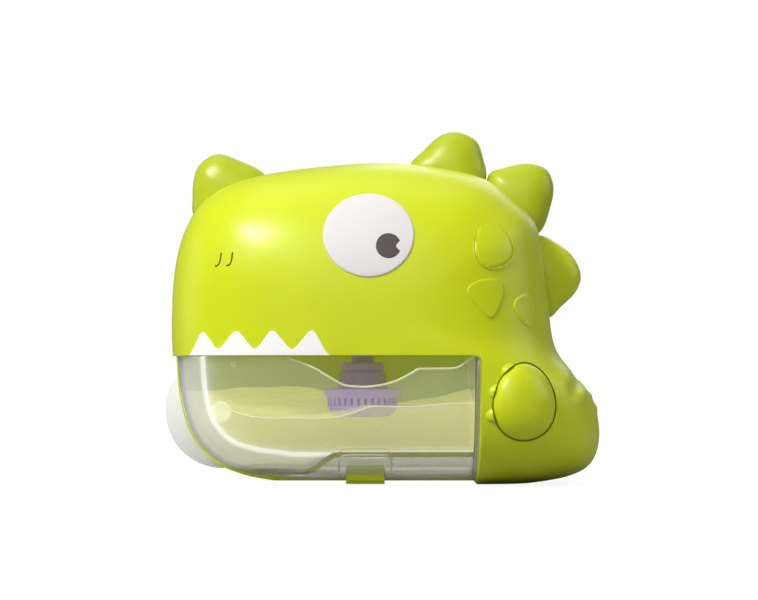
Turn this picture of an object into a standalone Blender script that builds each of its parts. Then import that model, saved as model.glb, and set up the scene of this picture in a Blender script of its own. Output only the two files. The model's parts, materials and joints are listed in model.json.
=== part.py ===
"""Dinosaur bubble machine for the bath, modelled the way it comes apart on a bench.

Frame: metres, +Z up, +X towards the tail, +Y towards the wall that the cups stick to.
The origin is the centre of the footprint: z = 0 is the rest plane.
The body is a pillow: one outline in the XZ plane, full size at the parting plane, which
shrinks towards the face by a superellipse. Every skin part is cut from that pillow.
"""

import math

import bmesh
import bpy
from mathutils import Matrix, Vector
from mathutils.geometry import interpolate_bezier

MM = 0.001

# --- driving dimensions -------------------------------------------------------------------
PARTING_Y = 27 * MM  # plane where the front and rear shells meet, and the widest section
FRONT_DEPTH = 72 * MM  # from the parting plane to the tip of the face
BACK_DEPTH = 10 * MM  # from the parting plane to the flat back
BACK_EDGE = 6 * MM  # rounding of the back's edge
WALL = 2.4 * MM
GAP = 0.3 * MM  # clearance between neighbouring pieces
FULLNESS = 2.9  # superellipse exponent of the face
BACK_Y = PARTING_Y + BACK_DEPTH
FACE_Y = PARTING_Y - FRONT_DEPTH

OUTLINE_SIDES = 54
RING_ANGLES = (5, 13, 23, 34, 46, 60, 76)  # degrees, from the rim to the face
BODY_CENTRE = Vector((-5 * MM, 72 * MM))  # the outline shrinks towards this point
BODY_OUTLINE = (  # mm, clockwise seen from the front, starting at the chin
    (-35, -1.2), (-50, 0.2), (-64, 3), (-76.5, 8.6), (-87, 20.4), (-92.4, 36.6), (-94.5, 57),
    (-95, 77), (-93.4, 99), (-88.8, 115.5), (-80.5, 128.2), (-64.5, 137.2), (-40, 142.4),
    (-2, 145.6), (26, 143.6), (47, 138.6), (61, 129.3), (71.2, 117.6), (74.8, 100), (77, 79),
    (79.9, 61.5), (88.1, 49), (96.6, 38), (99.94, 25), (98.8, 14), (94.4, 7), (86.5, 3),
    (76.6, 0.8), (64, -0.7), (48, -1.2), (8, -1.4),
)

# mouth: the clear tank fills the body left of the tank wall and below the mouth line
MOUTH_Z = 57.5 * MM
TANK_SIDE_X = 43.3 * MM
MOUTH_CORNER = 3 * MM

SPIKES = {  # closed outlines in mm, around and above the body's edge, and the tab's root
    "nose_horn": (
        ((-86, 122), (-87.2, 131), (-86.6, 139.6), (-84, 146.5), (-76, 151.3), (-66, 148.8),
         (-53, 141.3), (-54, 128), (-75, 117)), (-70.5, 135.2)),
    "back_spike_top": (
        ((13.5, 144.5), (21.2, 154), (28.8, 160.4), (36.7, 161.7), (44.6, 158), (47.8, 150.5),
         (49.4, 140), (44, 130), (22, 133)), (32, 143.2)),
    "back_spike_middle": (
        ((50.4, 141.4), (58, 145.2), (68.5, 147.2), (77.2, 144.6), (80.6, 136.8), (79.4, 127.5),
         (74.2, 115), (62, 112), (51, 129)), (63, 127.8)),
    "back_spike_low": (
        ((74, 113.6), (82.5, 109.8), (89.3, 104.2), (93.2, 95.4), (91, 87.6), (84, 80.4),
         (77.4, 75.2), (66, 80), (64, 108)), (75.6, 94.3)),
}
SPIKE_DEPTH = 10.5 * MM
TAB_WIDTH = 10 * MM
TAB_DEPTH = 6 * MM

EYE_CENTRE = Vector((-4.9, 108.9)) * MM
EYE_HALF = Vector((19.4, 18.2)) * MM
PUPIL_CENTRE = Vector((3.5, 104.8)) * MM
PUPIL_RADIUS = 5.3 * MM
TEETH = (  # mm: gum line corner, then tips and valleys from the nose to the cheek
    (-83.6, 57.5), (-76.6, 67.6), (-69.6, 60.3), (-61.4, 67.9), (-53.2, 60.3),
    (-45.8, 68), (-37.2, 60.1), (-28.8, 68), (-21.1, 57.5),
)
SCALES = (  # mm, raised scales on the neck
    ((46, 115.5), (42, 107), (41, 98.5), (47.5, 94.5), (56.5, 97), (60.5, 102.5), (56, 110)),
    ((37, 85.3), (42.5, 89.6), (50.6, 89.8), (53, 85), (50.8, 78), (47, 73.5), (41.5, 78.6)),
    ((57.6, 79), (60, 83), (65, 83.8), (68, 79), (67.2, 72), (64.8, 69.5), (60.5, 73)),
)

BUTTON_CENTRE = Vector((61.8, 37.6)) * MM
BUTTON_HALF = Vector((13.6, 16.5)) * MM
TOES = ((55.5, 50.6), (50.2, 41.8), (49.2, 31.8))
TAIL_SCUTES = ((89.2, 45.2), (93.8, 39.2), (96.4, 32.4))

# frother: everything turned shares this vertical axis
FROTH_X = -7.8 * MM
FROTH_Y = -8 * MM
CEILING_Z = 57.9 * MM
CEILING_TOP = 60.1 * MM

# battery compartment, behind the head
BATTERY_X = -8 * MM
BATTERY_Z = 100 * MM
CELL_R = 7.2 * MM
CELL_PITCH = 15.1 * MM
DOOR_HALF = Vector((26, 35)) * MM
BOX_CAVITY_HALF = Vector((22.7, 27)) * MM
BOX_FRONT_Y = 16.8 * MM
BOX_REAR_Y = 34.3 * MM

CUP_R = 27 * MM
CUP_DEPTH = 8 * MM
CUP_SPOTS = {
    "suction_cup_nose": (-74.5, 31.6),
    "suction_cup_tail": (68, 28.5),
    "suction_cup_brow": (-62, 104),
    "suction_cup_neck": (46, 104),
}
SHELL_SCREWS = ((-84, 76), (-44, 133.5), (65, 109), (86, 18))
BAY_SCREWS = ((-62, 64.4), (30, 64.4))
SCREW_HEAD_R = 2.8 * MM
SCREW_HOLE_R = 1.65 * MM

# clear tank
TANK_INSET = 2.2 * MM
TANK_WALL = 2.2 * MM
TANK_BACK_Y = 25.8 * MM
TANK_FLOOR_Z = 8.3 * MM
TANK_STEP_Z = 16 * MM
LATCH_X = -6.5 * MM
LATCH_HALF = 8.5 * MM
LATCH_PIN = Vector((LATCH_X, 8 * MM, 5.4 * MM))

COLOURS = {
    "green": ((0.60, 0.72, 0.012, 1), 0.32, 0.0),
    "white": ((0.9, 0.88, 0.85, 1), 0.35, 0.0),
    "dark": ((0.10, 0.085, 0.09, 1), 0.4, 0.0),
    "clear": ((0.85, 0.87, 0.83, 0.35), 0.08, 0.0),
    "purple": ((0.30, 0.24, 0.40, 1), 0.4, 0.0),
    "soft_clear": ((0.8, 0.82, 0.78, 0.6), 0.25, 0.0),
    "black": ((0.03, 0.03, 0.03, 1), 0.5, 0.0),
    "steel": ((0.6, 0.6, 0.62, 1), 0.3, 1.0),
    "brass": ((0.7, 0.5, 0.2, 1), 0.35, 1.0),
    "rubber": ((0.05, 0.05, 0.05, 1), 0.8, 0.0),
    "board": ((0.02, 0.2, 0.08, 1), 0.5, 0.0),
    "red": ((0.6, 0.02, 0.02, 1), 0.5, 0.0),
}


# --- scene and object helpers --------------------------------------------------------------
def clear_scene():
    for old in list(bpy.data.objects):
        bpy.data.objects.remove(old)


def part_collection():
    made = bpy.data.collections.new("bubble_machine")
    bpy.context.scene.collection.children.link(made)
    return made


def material(name, kind):
    colour, roughness, metallic = COLOURS[kind]
    made = bpy.data.materials.new(name)
    made.use_nodes = True
    shader = made.node_tree.nodes["Principled BSDF"]
    shader.inputs["Base Color"].default_value = colour
    shader.inputs["Roughness"].default_value = roughness
    shader.inputs["Metallic"].default_value = metallic
    shader.inputs["Alpha"].default_value = colour[3]
    return made


def object_of(mesh, name):
    made = bpy.data.objects.new(name, mesh)
    bpy.context.scene.collection.objects.link(made)
    return made


def evaluated_mesh(obj):
    bpy.context.view_layer.update()
    graph = bpy.context.evaluated_depsgraph_get()
    return bpy.data.meshes.new_from_object(obj.evaluated_get(graph))


def baked(obj):
    """The object as a plain mesh in world space, with its modifiers applied and doubles welded."""
    mesh = evaluated_mesh(obj)
    mesh.transform(obj.matrix_world)
    weld = bmesh.new()
    weld.from_mesh(mesh)
    bmesh.ops.remove_doubles(weld, verts=weld.verts, dist=0.001 * MM)
    bmesh.ops.recalc_face_normals(weld, faces=weld.faces)
    weld.to_mesh(mesh)
    weld.free()
    name = obj.name
    bpy.data.objects.remove(obj)
    return object_of(mesh, name)


def boolean(target, tool, operation):
    """Joins, cuts or keeps the overlap of two closed meshes, and uses the tool up."""
    modifier = target.modifiers.new(operation.title(), "BOOLEAN")
    modifier.object = tool
    modifier.operation = operation
    mesh = evaluated_mesh(target)
    target.modifiers.clear()
    target.data = mesh
    bpy.data.objects.remove(tool)
    return target


def cut(target, *tools):
    for tool in tools:
        boolean(target, tool, "DIFFERENCE")
    return target


def join(target, *tools):
    for tool in tools:
        boolean(target, tool, "UNION")
    return target


def keep_inside(target, tool):
    return boolean(target, tool, "INTERSECT")


def finish_part(obj, kind, collection, pivot=None):
    """Gives the part its material, moves the origin to the joint's axis and files the part."""
    obj.data.materials.clear()
    obj.data.materials.append(material(obj.name + "_" + kind, kind))
    if pivot is not None:
        obj.data.transform(Matrix.Translation(-Vector(pivot)))
        obj.location = pivot
    obj.data.shade_smooth()
    obj.data.set_sharp_from_angle(angle=math.radians(35))
    for home in list(obj.users_collection):
        home.objects.unlink(obj)
    collection.objects.link(obj)
    return obj


# --- shape helpers -------------------------------------------------------------------------
def box(name, low, high):
    """A box between two corners, given in mm."""
    bpy.ops.mesh.primitive_cube_add(size=1)
    made = bpy.context.object
    made.name = name
    low, high = Vector(low) * MM, Vector(high) * MM
    size = high - low
    made.data.transform(Matrix.Diagonal((*size, 1)))
    made.data.transform(Matrix.Translation((low + high) / 2))
    return made


def cylinder(name, radius, start, end, sides=16):
    """A cylinder between two points, in metres."""
    start, end = Vector(start), Vector(end)
    along = end - start
    bpy.ops.mesh.primitive_cylinder_add(radius=radius, depth=along.length, vertices=sides)
    made = bpy.context.object
    made.name = name
    turn = along.to_track_quat("Z", "Y").to_matrix().to_4x4()
    made.data.transform(Matrix.Translation((start + end) / 2) @ turn)
    return made


def ball(name, radius, centre, stretch=(1, 1, 1), segments=16, rings=8):
    bpy.ops.mesh.primitive_uv_sphere_add(radius=radius, segments=segments, ring_count=rings)
    made = bpy.context.object
    made.name = name
    made.data.transform(Matrix.Translation(centre) @ Matrix.Diagonal((*stretch, 1)))
    return made


def turned(name, profile, place, axis="Z", steps=24):
    """A profile of (radius, height) in mm, turned about the axis through place."""
    mesh = bpy.data.meshes.new(name)
    points = [(r * MM, 0, h * MM) for r, h in profile]
    closed = profile[0][0] > 0 and profile[-1][0] > 0
    edges = [(i, i + 1) for i in range(len(points) - 1)]
    if closed:
        edges.append((len(points) - 1, 0))
    mesh.from_pydata(points, edges, [])
    made = object_of(mesh, name)
    screw = made.modifiers.new("Turn", "SCREW")
    screw.steps = screw.render_steps = steps
    screw.use_merge_vertices = True
    screw.merge_threshold = 0.01 * MM
    made.location = place
    if axis == "Y":
        made.rotation_euler.x = -math.pi / 2
    return baked(made)


def plate(name, outline, start, end, axis="Y"):
    """A flat outline in metres with thickness along an axis: (x, z) for Y, (x, y) for Z, (y, z) for X."""
    curve = bpy.data.curves.new(name, "CURVE")
    curve.dimensions = "2D"
    curve.fill_mode = "BOTH"
    curve.extrude = (end - start) / 2
    spline = curve.splines.new("POLY")
    spline.points.add(len(outline) - 1)
    for point, (x, z) in zip(spline.points, outline):
        point.co = (x, z, 0, 1)
    spline.use_cyclic_u = True
    made = object_of(curve, name)
    made.rotation_euler = {"X": (math.pi / 2, 0, math.pi / 2), "Y": (math.pi / 2, 0, 0), "Z": (0, 0, 0)}[axis]
    made.location["XYZ".index(axis)] = (start + end) / 2
    return baked(made)


def wire(name, points, radius, resolution=1):
    """A round wire through points in mm."""
    curve = bpy.data.curves.new(name, "CURVE")
    curve.dimensions = "3D"
    curve.bevel_depth = radius
    curve.bevel_resolution = resolution
    curve.use_fill_caps = True
    spline = curve.splines.new("POLY")
    spline.points.add(len(points) - 1)
    for point, place in zip(spline.points, points):
        point.co = (*(Vector(place) * MM), 1)
    return baked(object_of(curve, name))


def coil_points(turns, radius, start, end, per_turn=8, taper=1.0):
    """Points of a coil from start to end, in mm. taper is the last radius over the first."""
    start, end = Vector(start), Vector(end)
    axis = (end - start).normalized()
    side = axis.orthogonal().normalized()
    across = axis.cross(side)
    count = int(turns * per_turn)
    points = []
    for i in range(count + 1):
        share = i / count
        angle = 2 * math.pi * turns * share
        r = radius * (1 + (taper - 1) * share)
        points.append(start.lerp(end, share) + r * (math.cos(angle) * side + math.sin(angle) * across))
    return points


def smooth_outline(corners, count):
    """A closed smooth curve through corners in mm, as evenly spaced (x, z) points in metres."""
    knots = [Vector((x * MM, z * MM)) for x, z in corners]
    dense = []
    for i, knot in enumerate(knots):
        before, after = knots[i - 1], knots[(i + 1) % len(knots)]
        beyond = knots[(i + 2) % len(knots)]
        leave = knot + (after - before) / 6
        arrive = after - (beyond - knot) / 6
        dense += interpolate_bezier(knot, leave, arrive, after, 12)[:-1]
    lengths = [0.0]
    for i, point in enumerate(dense):
        lengths.append(lengths[-1] + (dense[(i + 1) % len(dense)] - point).length)
    evenly, at = [], 0
    for k in range(count):
        wanted = lengths[-1] * k / count
        while lengths[at + 1] < wanted:
            at += 1
        share = (wanted - lengths[at]) / (lengths[at + 1] - lengths[at])
        evenly.append(dense[at].lerp(dense[(at + 1) % len(dense)], share))
    return evenly


def ellipse(centre, half, count=32):
    turns = (2 * math.pi * i / count for i in range(count))
    return [Vector((centre.x + half.x * math.cos(a), centre.y + half.y * math.sin(a))) for a in turns]


def egg(centre, half, grow=0.0, count=24):
    """An egg outline, narrower at its top."""
    points = []
    for i in range(count):
        a = 2 * math.pi * i / count
        narrow = 1 - 0.10 * math.sin(a)
        points.append(Vector((centre.x + (half.x + grow) * narrow * math.cos(a),
                              centre.y + (half.y + grow) * math.sin(a))))
    return points


def inset_outline(points, inset):
    """Moves every point of a clockwise outline inwards along its normal."""
    moved = []
    for i, point in enumerate(points):
        along = (points[(i + 1) % len(points)] - points[i - 1]).normalized()
        moved.append(point + inset * Vector((along.y, -along.x)))
    return moved


def loft(name, rings, pole=None, floor_z=None):
    """Skins rings of equal length, caps the open ends and slices the solid flat at floor_z."""
    skin = bmesh.new()
    rows = [[skin.verts.new(p) for p in ring] for ring in rings]
    count = len(rows[0])
    for row, following in zip(rows, rows[1:]):
        for i in range(count):
            j = (i + 1) % count
            skin.faces.new((row[i], row[j], following[j], following[i]))
    skin.faces.new(rows[0])
    if pole is None:
        skin.faces.new(rows[-1])
    else:
        tip = skin.verts.new(pole)
        for i in range(count):
            skin.faces.new((rows[-1][i], rows[-1][(i + 1) % count], tip))
    bmesh.ops.triangulate(skin, faces=[face for face in skin.faces if len(face.verts) == 4])
    if floor_z is not None:
        everything = skin.verts[:] + skin.edges[:] + skin.faces[:]
        sliced = bmesh.ops.bisect_plane(skin, geom=everything, dist=0.0001 * MM, plane_co=(0, 0, floor_z),
                                        plane_no=(0, 0, -1), clear_outer=True)
        rim = [e for e in sliced["geom_cut"] if isinstance(e, bmesh.types.BMEdge)]
        bmesh.ops.holes_fill(skin, edges=rim)
    bmesh.ops.recalc_face_normals(skin, faces=skin.faces)
    mesh = bpy.data.meshes.new(name)
    skin.to_mesh(mesh)
    skin.free()
    return object_of(mesh, name)


def pillow_rings(outline, centre, mid_y, depth, fullness, angles=RING_ANGLES):
    """Rings of an outline that shrinks by a superellipse, from mid_y by depth (negative is forwards)."""
    rings = []
    for degrees in angles:
        a = math.radians(degrees)
        size, reach = math.cos(a) ** (2 / fullness), math.sin(a) ** (2 / fullness)
        ring = []
        for point in outline:
            p = centre + size * (point - centre)
            ring.append((p.x, mid_y + depth * reach, p.y))
        rings.append(ring)
    return rings


BODY_RIM = smooth_outline(BODY_OUTLINE, OUTLINE_SIDES)


def level_ring(outline, y):
    return [(p.x, y, p.y) for p in outline]


def front_half(name, inset, start_y=PARTING_Y, floor_z=None):
    """The body's volume from start_y to the face, shrunk by inset."""
    floor_z = max(inset, 0) if floor_z is None else floor_z
    rim = inset_outline(BODY_RIM, inset)
    depth = FRONT_DEPTH - inset
    rings = [level_ring(rim, start_y)]
    rings += pillow_rings(rim, BODY_CENTRE, PARTING_Y, -depth, FULLNESS)
    return loft(name, rings, (BODY_CENTRE.x, PARTING_Y - depth, BODY_CENTRE.y), floor_z)


def rear_half_rings(inset, start_y):
    edge = BACK_EDGE - inset
    flat_y = BACK_Y - inset
    rings = [level_ring(inset_outline(BODY_RIM, inset), start_y)]
    for degrees in (0, 45, 90):
        a = math.radians(degrees)
        rim = inset_outline(BODY_RIM, inset + edge * (1 - math.cos(a)))
        rings.append(level_ring(rim, flat_y - edge + edge * math.sin(a)))
    return rings


def whole_body(name, inset):
    """Front and rear volumes in one solid, shrunk by inset."""
    rim = inset_outline(BODY_RIM, inset)
    depth = FRONT_DEPTH - inset
    rings = list(reversed(rear_half_rings(inset, PARTING_Y)))
    rings += pillow_rings(rim, BODY_CENTRE, PARTING_Y, -depth, FULLNESS)
    return loft(name, rings, (BODY_CENTRE.x, PARTING_Y - depth, BODY_CENTRE.y), max(inset, 0))


def rim_radius(angle):
    """Distance from the body's centre to its outline in one direction."""
    ray = Vector((math.cos(angle), math.sin(angle)))
    best = 0.0
    for i, p in enumerate(BODY_RIM):
        a, b = p - BODY_CENTRE, BODY_RIM[(i + 1) % OUTLINE_SIDES] - BODY_CENTRE
        edge = b - a
        cross = ray.x * edge.y - ray.y * edge.x
        if abs(cross) < 1e-12:
            continue
        along = (a.x * edge.y - a.y * edge.x) / cross
        share = (a.x * ray.y - a.y * ray.x) / cross
        if along > 0 and -1e-9 <= share <= 1 + 1e-9:
            best = max(best, along)
    return best


def face_y(x, z, inset=0.0):
    """Where the body's face, or the surface inset below it, is at (x, z), all in metres."""
    off = Vector((x, z)) - BODY_CENTRE
    reach = rim_radius(math.atan2(off.y, off.x)) - 1.1 * inset
    size = min(off.length / reach, 1.0)
    return PARTING_Y - (FRONT_DEPTH - inset) * (1 - size**FULLNESS) ** (1 / FULLNESS)


def skin_piece(name, outline, outer_inset, inner_inset):
    """The part of the body's skin inside an outline, between two insets."""
    piece = plate(name, outline, FACE_Y - 20 * MM, PARTING_Y - 5 * MM)
    keep_inside(piece, front_half("skin_outside", outer_inset))
    return cut(piece, front_half("skin_inside", inner_inset, PARTING_Y + 1 * MM, 0))


def skin_pocket(name, outline, depth):
    """A cutter that takes the skin inside an outline down to a depth."""
    pocket = plate(name, outline, FACE_Y - 20 * MM, PARTING_Y - 5 * MM)
    return cut(pocket, front_half("pocket_floor", depth, PARTING_Y + 1 * MM, 0))


# --- skin: shells, eye, teeth, spikes --------------------------------------------------------
def mouth_opening(shrink=0.0):
    """The outline that the tank takes out of the body, with its corner by the cheek rounded."""
    right, top = TANK_SIDE_X - shrink, MOUTH_Z - shrink
    left, bottom = -130 * MM, -10 * MM
    corner = []
    for degrees in (90, 60, 30, 0):
        a = math.radians(degrees)
        corner.append((right - MOUTH_CORNER * (1 - math.cos(a)), top - MOUTH_CORNER * (1 - math.sin(a))))
    return [(left, bottom), (left, top), *corner, (right, bottom)]


def spike_tab(root, grow=0.0):
    """A tab that runs from a spike's root inwards, through the rims of both shells."""
    middle = Vector(root) * MM
    inward = (BODY_CENTRE - middle).normalized()
    size = Vector((TAB_WIDTH + 2 * grow, TAB_DEPTH + 2 * grow, 12 * MM))
    bpy.ops.mesh.primitive_cube_add(size=1)
    tab = bpy.context.object
    tab.data.transform(Matrix.Diagonal((*size, 1)))
    turn = Vector((inward.x, 0, inward.y)).to_track_quat("Z", "Y").to_matrix().to_4x4()
    tab.data.transform(Matrix.Translation((middle.x, PARTING_Y, middle.y)) @ turn)
    return tab


def spike(name, corners, root):
    outline = smooth_outline(corners, 22)
    middle = sum(outline, Vector((0, 0))) / len(outline)
    angles = (0, 16, 36, 60)
    rear = pillow_rings(outline, middle, PARTING_Y, SPIKE_DEPTH * 0.9, 2.2, angles)
    front = pillow_rings(outline, middle, PARTING_Y, -SPIKE_DEPTH, 2.2, angles[1:])
    made = loft(name, list(reversed(rear)) + front)
    cut(made, whole_body("body_clearance", -GAP))
    return join(made, spike_tab(root))


def front_bosses():
    """Posts that the shell screws enter, grown forwards until they meet the face's skin."""
    posts = None
    for x, z in SHELL_SCREWS:
        at = Vector((x * MM, 0, z * MM))
        front = max(face_y(at.x, at.z), FACE_Y) - 4 * MM
        post = cylinder("post", 3.6 * MM, (at.x, front, at.z), (at.x, PARTING_Y - GAP, at.z), 10)
        posts = post if posts is None else join(posts, post)
    return keep_inside(posts, front_half("post_limit", WALL / 2))


def board_posts():
    posts = None
    for dz in (-1, 1):
        at = Vector((BUTTON_CENTRE.x + 17.6 * MM, 0, BUTTON_CENTRE.y + dz * 9 * MM))
        post = cylinder("board_post", 2.4 * MM, (at.x, FACE_Y, at.z), (at.x, -4.3 * MM, at.z), 10)
        posts = post if posts is None else join(posts, post)
    return keep_inside(posts, front_half("board_post_limit", WALL / 2))


def front_shell():
    shell = front_half("front_shell", 0)
    for corners in SCALES:
        join(shell, skin_piece("scale", smooth_outline(corners, 20), -0.9 * MM, WALL / 2))
    for x, z in TOES:
        centre = (x * MM, face_y(x * MM, z * MM) + 1.6 * MM, z * MM)
        join(shell, ball("toe", 4.4 * MM, centre, (1.15, 1, 0.9), 12, 8))
    for x, z in TAIL_SCUTES:
        join(shell, ball("scute", 3.6 * MM, (x * MM, PARTING_Y - 12 * MM, z * MM), (1, 1.9, 1), 12, 8))
    cut(shell, front_half("hollow", WALL, PARTING_Y + 2 * MM))
    join(shell, front_bosses(), board_posts())
    cut(shell, plate("mouth", mouth_opening(), FACE_Y - 10 * MM, PARTING_Y + 5 * MM))
    cut(shell, skin_pocket("eye_pocket", ellipse(EYE_CENTRE, EYE_HALF + Vector((GAP, GAP))), 1.2 * MM))
    cut(shell, skin_pocket("teeth_pocket", teeth_outline(GAP), 1.2 * MM))
    hole = egg(BUTTON_CENTRE, BUTTON_HALF, 0.45 * MM)
    cut(shell, plate("button_hole", hole, FACE_Y - 10 * MM, -22 * MM))
    for shift in (0, 6.2):
        cut(shell, nostril("nostril", shift))
    for _, root in SPIKES.values():
        cut(shell, spike_tab(root, GAP))
    for x, z in SHELL_SCREWS:
        start = (x * MM, PARTING_Y + 1 * MM, z * MM)
        end = (x * MM, PARTING_Y - 13 * MM, z * MM)
        cut(shell, cylinder("pilot", SCREW_HOLE_R, start, end, 10))
    return shell


def nostril(name, shift):
    """A J-shaped groove in the snout's skin."""
    path = ((-72.2, 103.6), (-72.6, 100.2), (-73.2, 97.9), (-74.6, 97.2), (-75.8, 97.7))
    points = []
    for x, z in path:
        y = face_y((x + shift) * MM, z * MM)
        points.append((x + shift, y / MM, z))
    return wire(name, points, 0.55 * MM)


def teeth_outline(grow=0.0):
    """The row of teeth seen from the front. grow widens it and carries it below the mouth line."""
    steps = 5
    points = []
    for (x0, z0), (x1, z1) in zip(TEETH, TEETH[1:]):
        for i in range(steps):
            share = i / steps
            rise = (1 - math.cos(math.pi * share)) / 2
            bulge = 0.75 * share + 0.25 * rise
            points.append(Vector((x0 + (x1 - x0) * bulge, z0 + (z1 - z0) * rise)) * MM)
    points.append(Vector(TEETH[-1]) * MM)
    if not grow:
        return points
    left, right = points[0].x - grow, points[-1].x + grow
    below = MOUTH_Z - 5 * MM
    raised = [point + Vector((0, grow)) for point in points]
    corners = [Vector((left, below)), Vector((left, MOUTH_Z + grow))]
    return corners + raised[1:-1] + [Vector((right, MOUTH_Z + grow)), Vector((right, below))]


def pupil_outline():
    """A disc with a rounded bite on its cheek side."""
    points = [PUPIL_CENTRE + Vector((0.42, 0)) * PUPIL_RADIUS]
    for i in range(25):
        a = math.radians(26 + (360 - 52) * i / 24)
        points.append(PUPIL_CENTRE + PUPIL_RADIUS * Vector((math.cos(a), math.sin(a))))
    return points


def rear_shell():
    shell = loft("rear_shell", rear_half_rings(0, PARTING_Y + GAP / 3), None, 0)
    cut(shell, loft("rear_hollow", rear_half_rings(WALL, PARTING_Y - 2 * MM), None, WALL))
    for x, z in SHELL_SCREWS + BAY_SCREWS:
        at = Vector((x, 0, z)) * MM
        tube_start = PARTING_Y + GAP if (x, z) in SHELL_SCREWS else 30.3 * MM
        tube = cylinder("tube", 3.6 * MM, (at.x, tube_start, at.z), (at.x, BACK_Y - 1 * MM, at.z), 12)
        join(shell, tube)
    for x, z in SHELL_SCREWS + BAY_SCREWS:
        at = Vector((x, 0, z)) * MM
        beyond = (at.x, 50 * MM, at.z)
        cut(shell, cylinder("through", SCREW_HOLE_R, (at.x, 20 * MM, at.z), beyond, 10))
        cut(shell, cylinder("bore", SCREW_HEAD_R + GAP, (at.x, BACK_Y - 4 * MM, at.z), beyond, 12))
    for x, z in CUP_SPOTS.values():
        cut(shell, cylinder("cup_hole", 3.5 * MM, (x * MM, 30 * MM, z * MM), (x * MM, 50 * MM, z * MM), 12))
    half = DOOR_HALF / MM
    low = (BATTERY_X / MM - half.x - 0.35, 30, BATTERY_Z / MM - half.y - 0.35)
    high = (BATTERY_X / MM + half.x + 0.35, 50, BATTERY_Z / MM + half.y + 0.35)
    cut(shell, box("door_opening", low, high))
    for _, root in SPIKES.values():
        cut(shell, spike_tab(root, GAP))
    cut(shell, box("latch_notch", (-12, 20, -1), (-1, 31, 4.6)))
    return shell


def tank_bay():
    """The wet side's roof and inner cheek, in one moulding, with the frother's hole and posts."""
    cheek = TANK_SIDE_X / MM + 0.3
    bay = box("tank_bay", (-120, -80, CEILING_Z / MM), (cheek + 2.2, 60, CEILING_TOP / MM))
    join(bay, box("cheek", (cheek, -80, -5), (cheek + 2.2, 60, 59)))
    for x, z in BAY_SCREWS:
        start, end = (x * MM, 18 * MM, z * MM), (x * MM, 29.9 * MM, z * MM)
        join(bay, cylinder("bay_post", 3.6 * MM, start, end, 12))
        join(bay, box("bay_web", (x - 1, 18, 59), (x + 1, 29.9, z)))
    keep_inside(bay, whole_body("bay_limit", WALL + GAP))
    for x in (FROTH_X / MM - 22, FROTH_X / MM + 22):
        at = Vector((x * MM, FROTH_Y, 0))
        post = cylinder("bracket_post", 3.2 * MM, (at.x, at.y, 59 * MM), (at.x, at.y, 66 * MM), 12)
        join(bay, post)
        cut(bay, cylinder("bracket_pilot", SCREW_HOLE_R, (at.x, at.y, 60.5 * MM), (at.x, at.y, 70 * MM), 10))
    cut(bay, cylinder("neck_hole", 5.3 * MM, (FROTH_X, FROTH_Y, 50 * MM), (FROTH_X, FROTH_Y, 70 * MM), 20))
    for x, z in BAY_SCREWS:
        start, end = (x * MM, 20 * MM, z * MM), (x * MM, 40 * MM, z * MM)
        cut(bay, cylinder("bay_pilot", SCREW_HOLE_R, start, end, 10))
    return bay


# --- tank ------------------------------------------------------------------------------------
def tank_volume(name, inset, floor_z, back_y):
    """The body's volume inside the mouth, shrunk by inset on its curved sides."""
    volume = front_half(name, TANK_INSET + inset, PARTING_Y + 8 * MM, floor_z)
    right = TANK_SIDE_X - 0.6 * MM - inset
    corner = 6 * MM - inset
    profile = [(-130 * MM, -80 * MM), (right, -80 * MM)]
    for degrees in (0, 30, 60, 90):
        a = math.radians(degrees)
        profile.append((right - corner * (1 - math.cos(a)), back_y - corner * (1 - math.sin(a))))
    profile.append((-130 * MM, back_y))
    return keep_inside(volume, plate(name + "_block", profile, -200 * MM, 200 * MM, "Z"))


def step_profile(low_z, high_z, shift, left, right, top):
    """A closed XZ profile whose lower edge climbs from low_z to high_z in an S, for the tank's floor."""
    start, end = -34 * MM + shift, -18 * MM + shift
    points = [(left, top), (left, low_z)]
    for i in range(9):
        share = i / 8
        rise = (1 - math.cos(math.pi * share)) / 2
        points.append((start + (end - start) * share, low_z + (high_z - low_z) * rise))
    points += [(right, high_z), (right, top)]
    return points


def dip_outline():
    """The low spout in the tank's front wall."""
    corners = ((-46, 60), (-39.5, 56.8), (-29.1, 52.7), (-23.4, 49.4), (-18.3, 46.4), (-14.9, 44.9),
               (-10.8, 44.4), (-6.8, 44.2), (-2.1, 44.6), (3, 45.5), (8.3, 47.4), (12.5, 49.6),
               (16.4, 51.9), (33.1, 52), (38.9, 56.8), (43, 60))
    return [Vector(corner) * MM for corner in corners]


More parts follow.
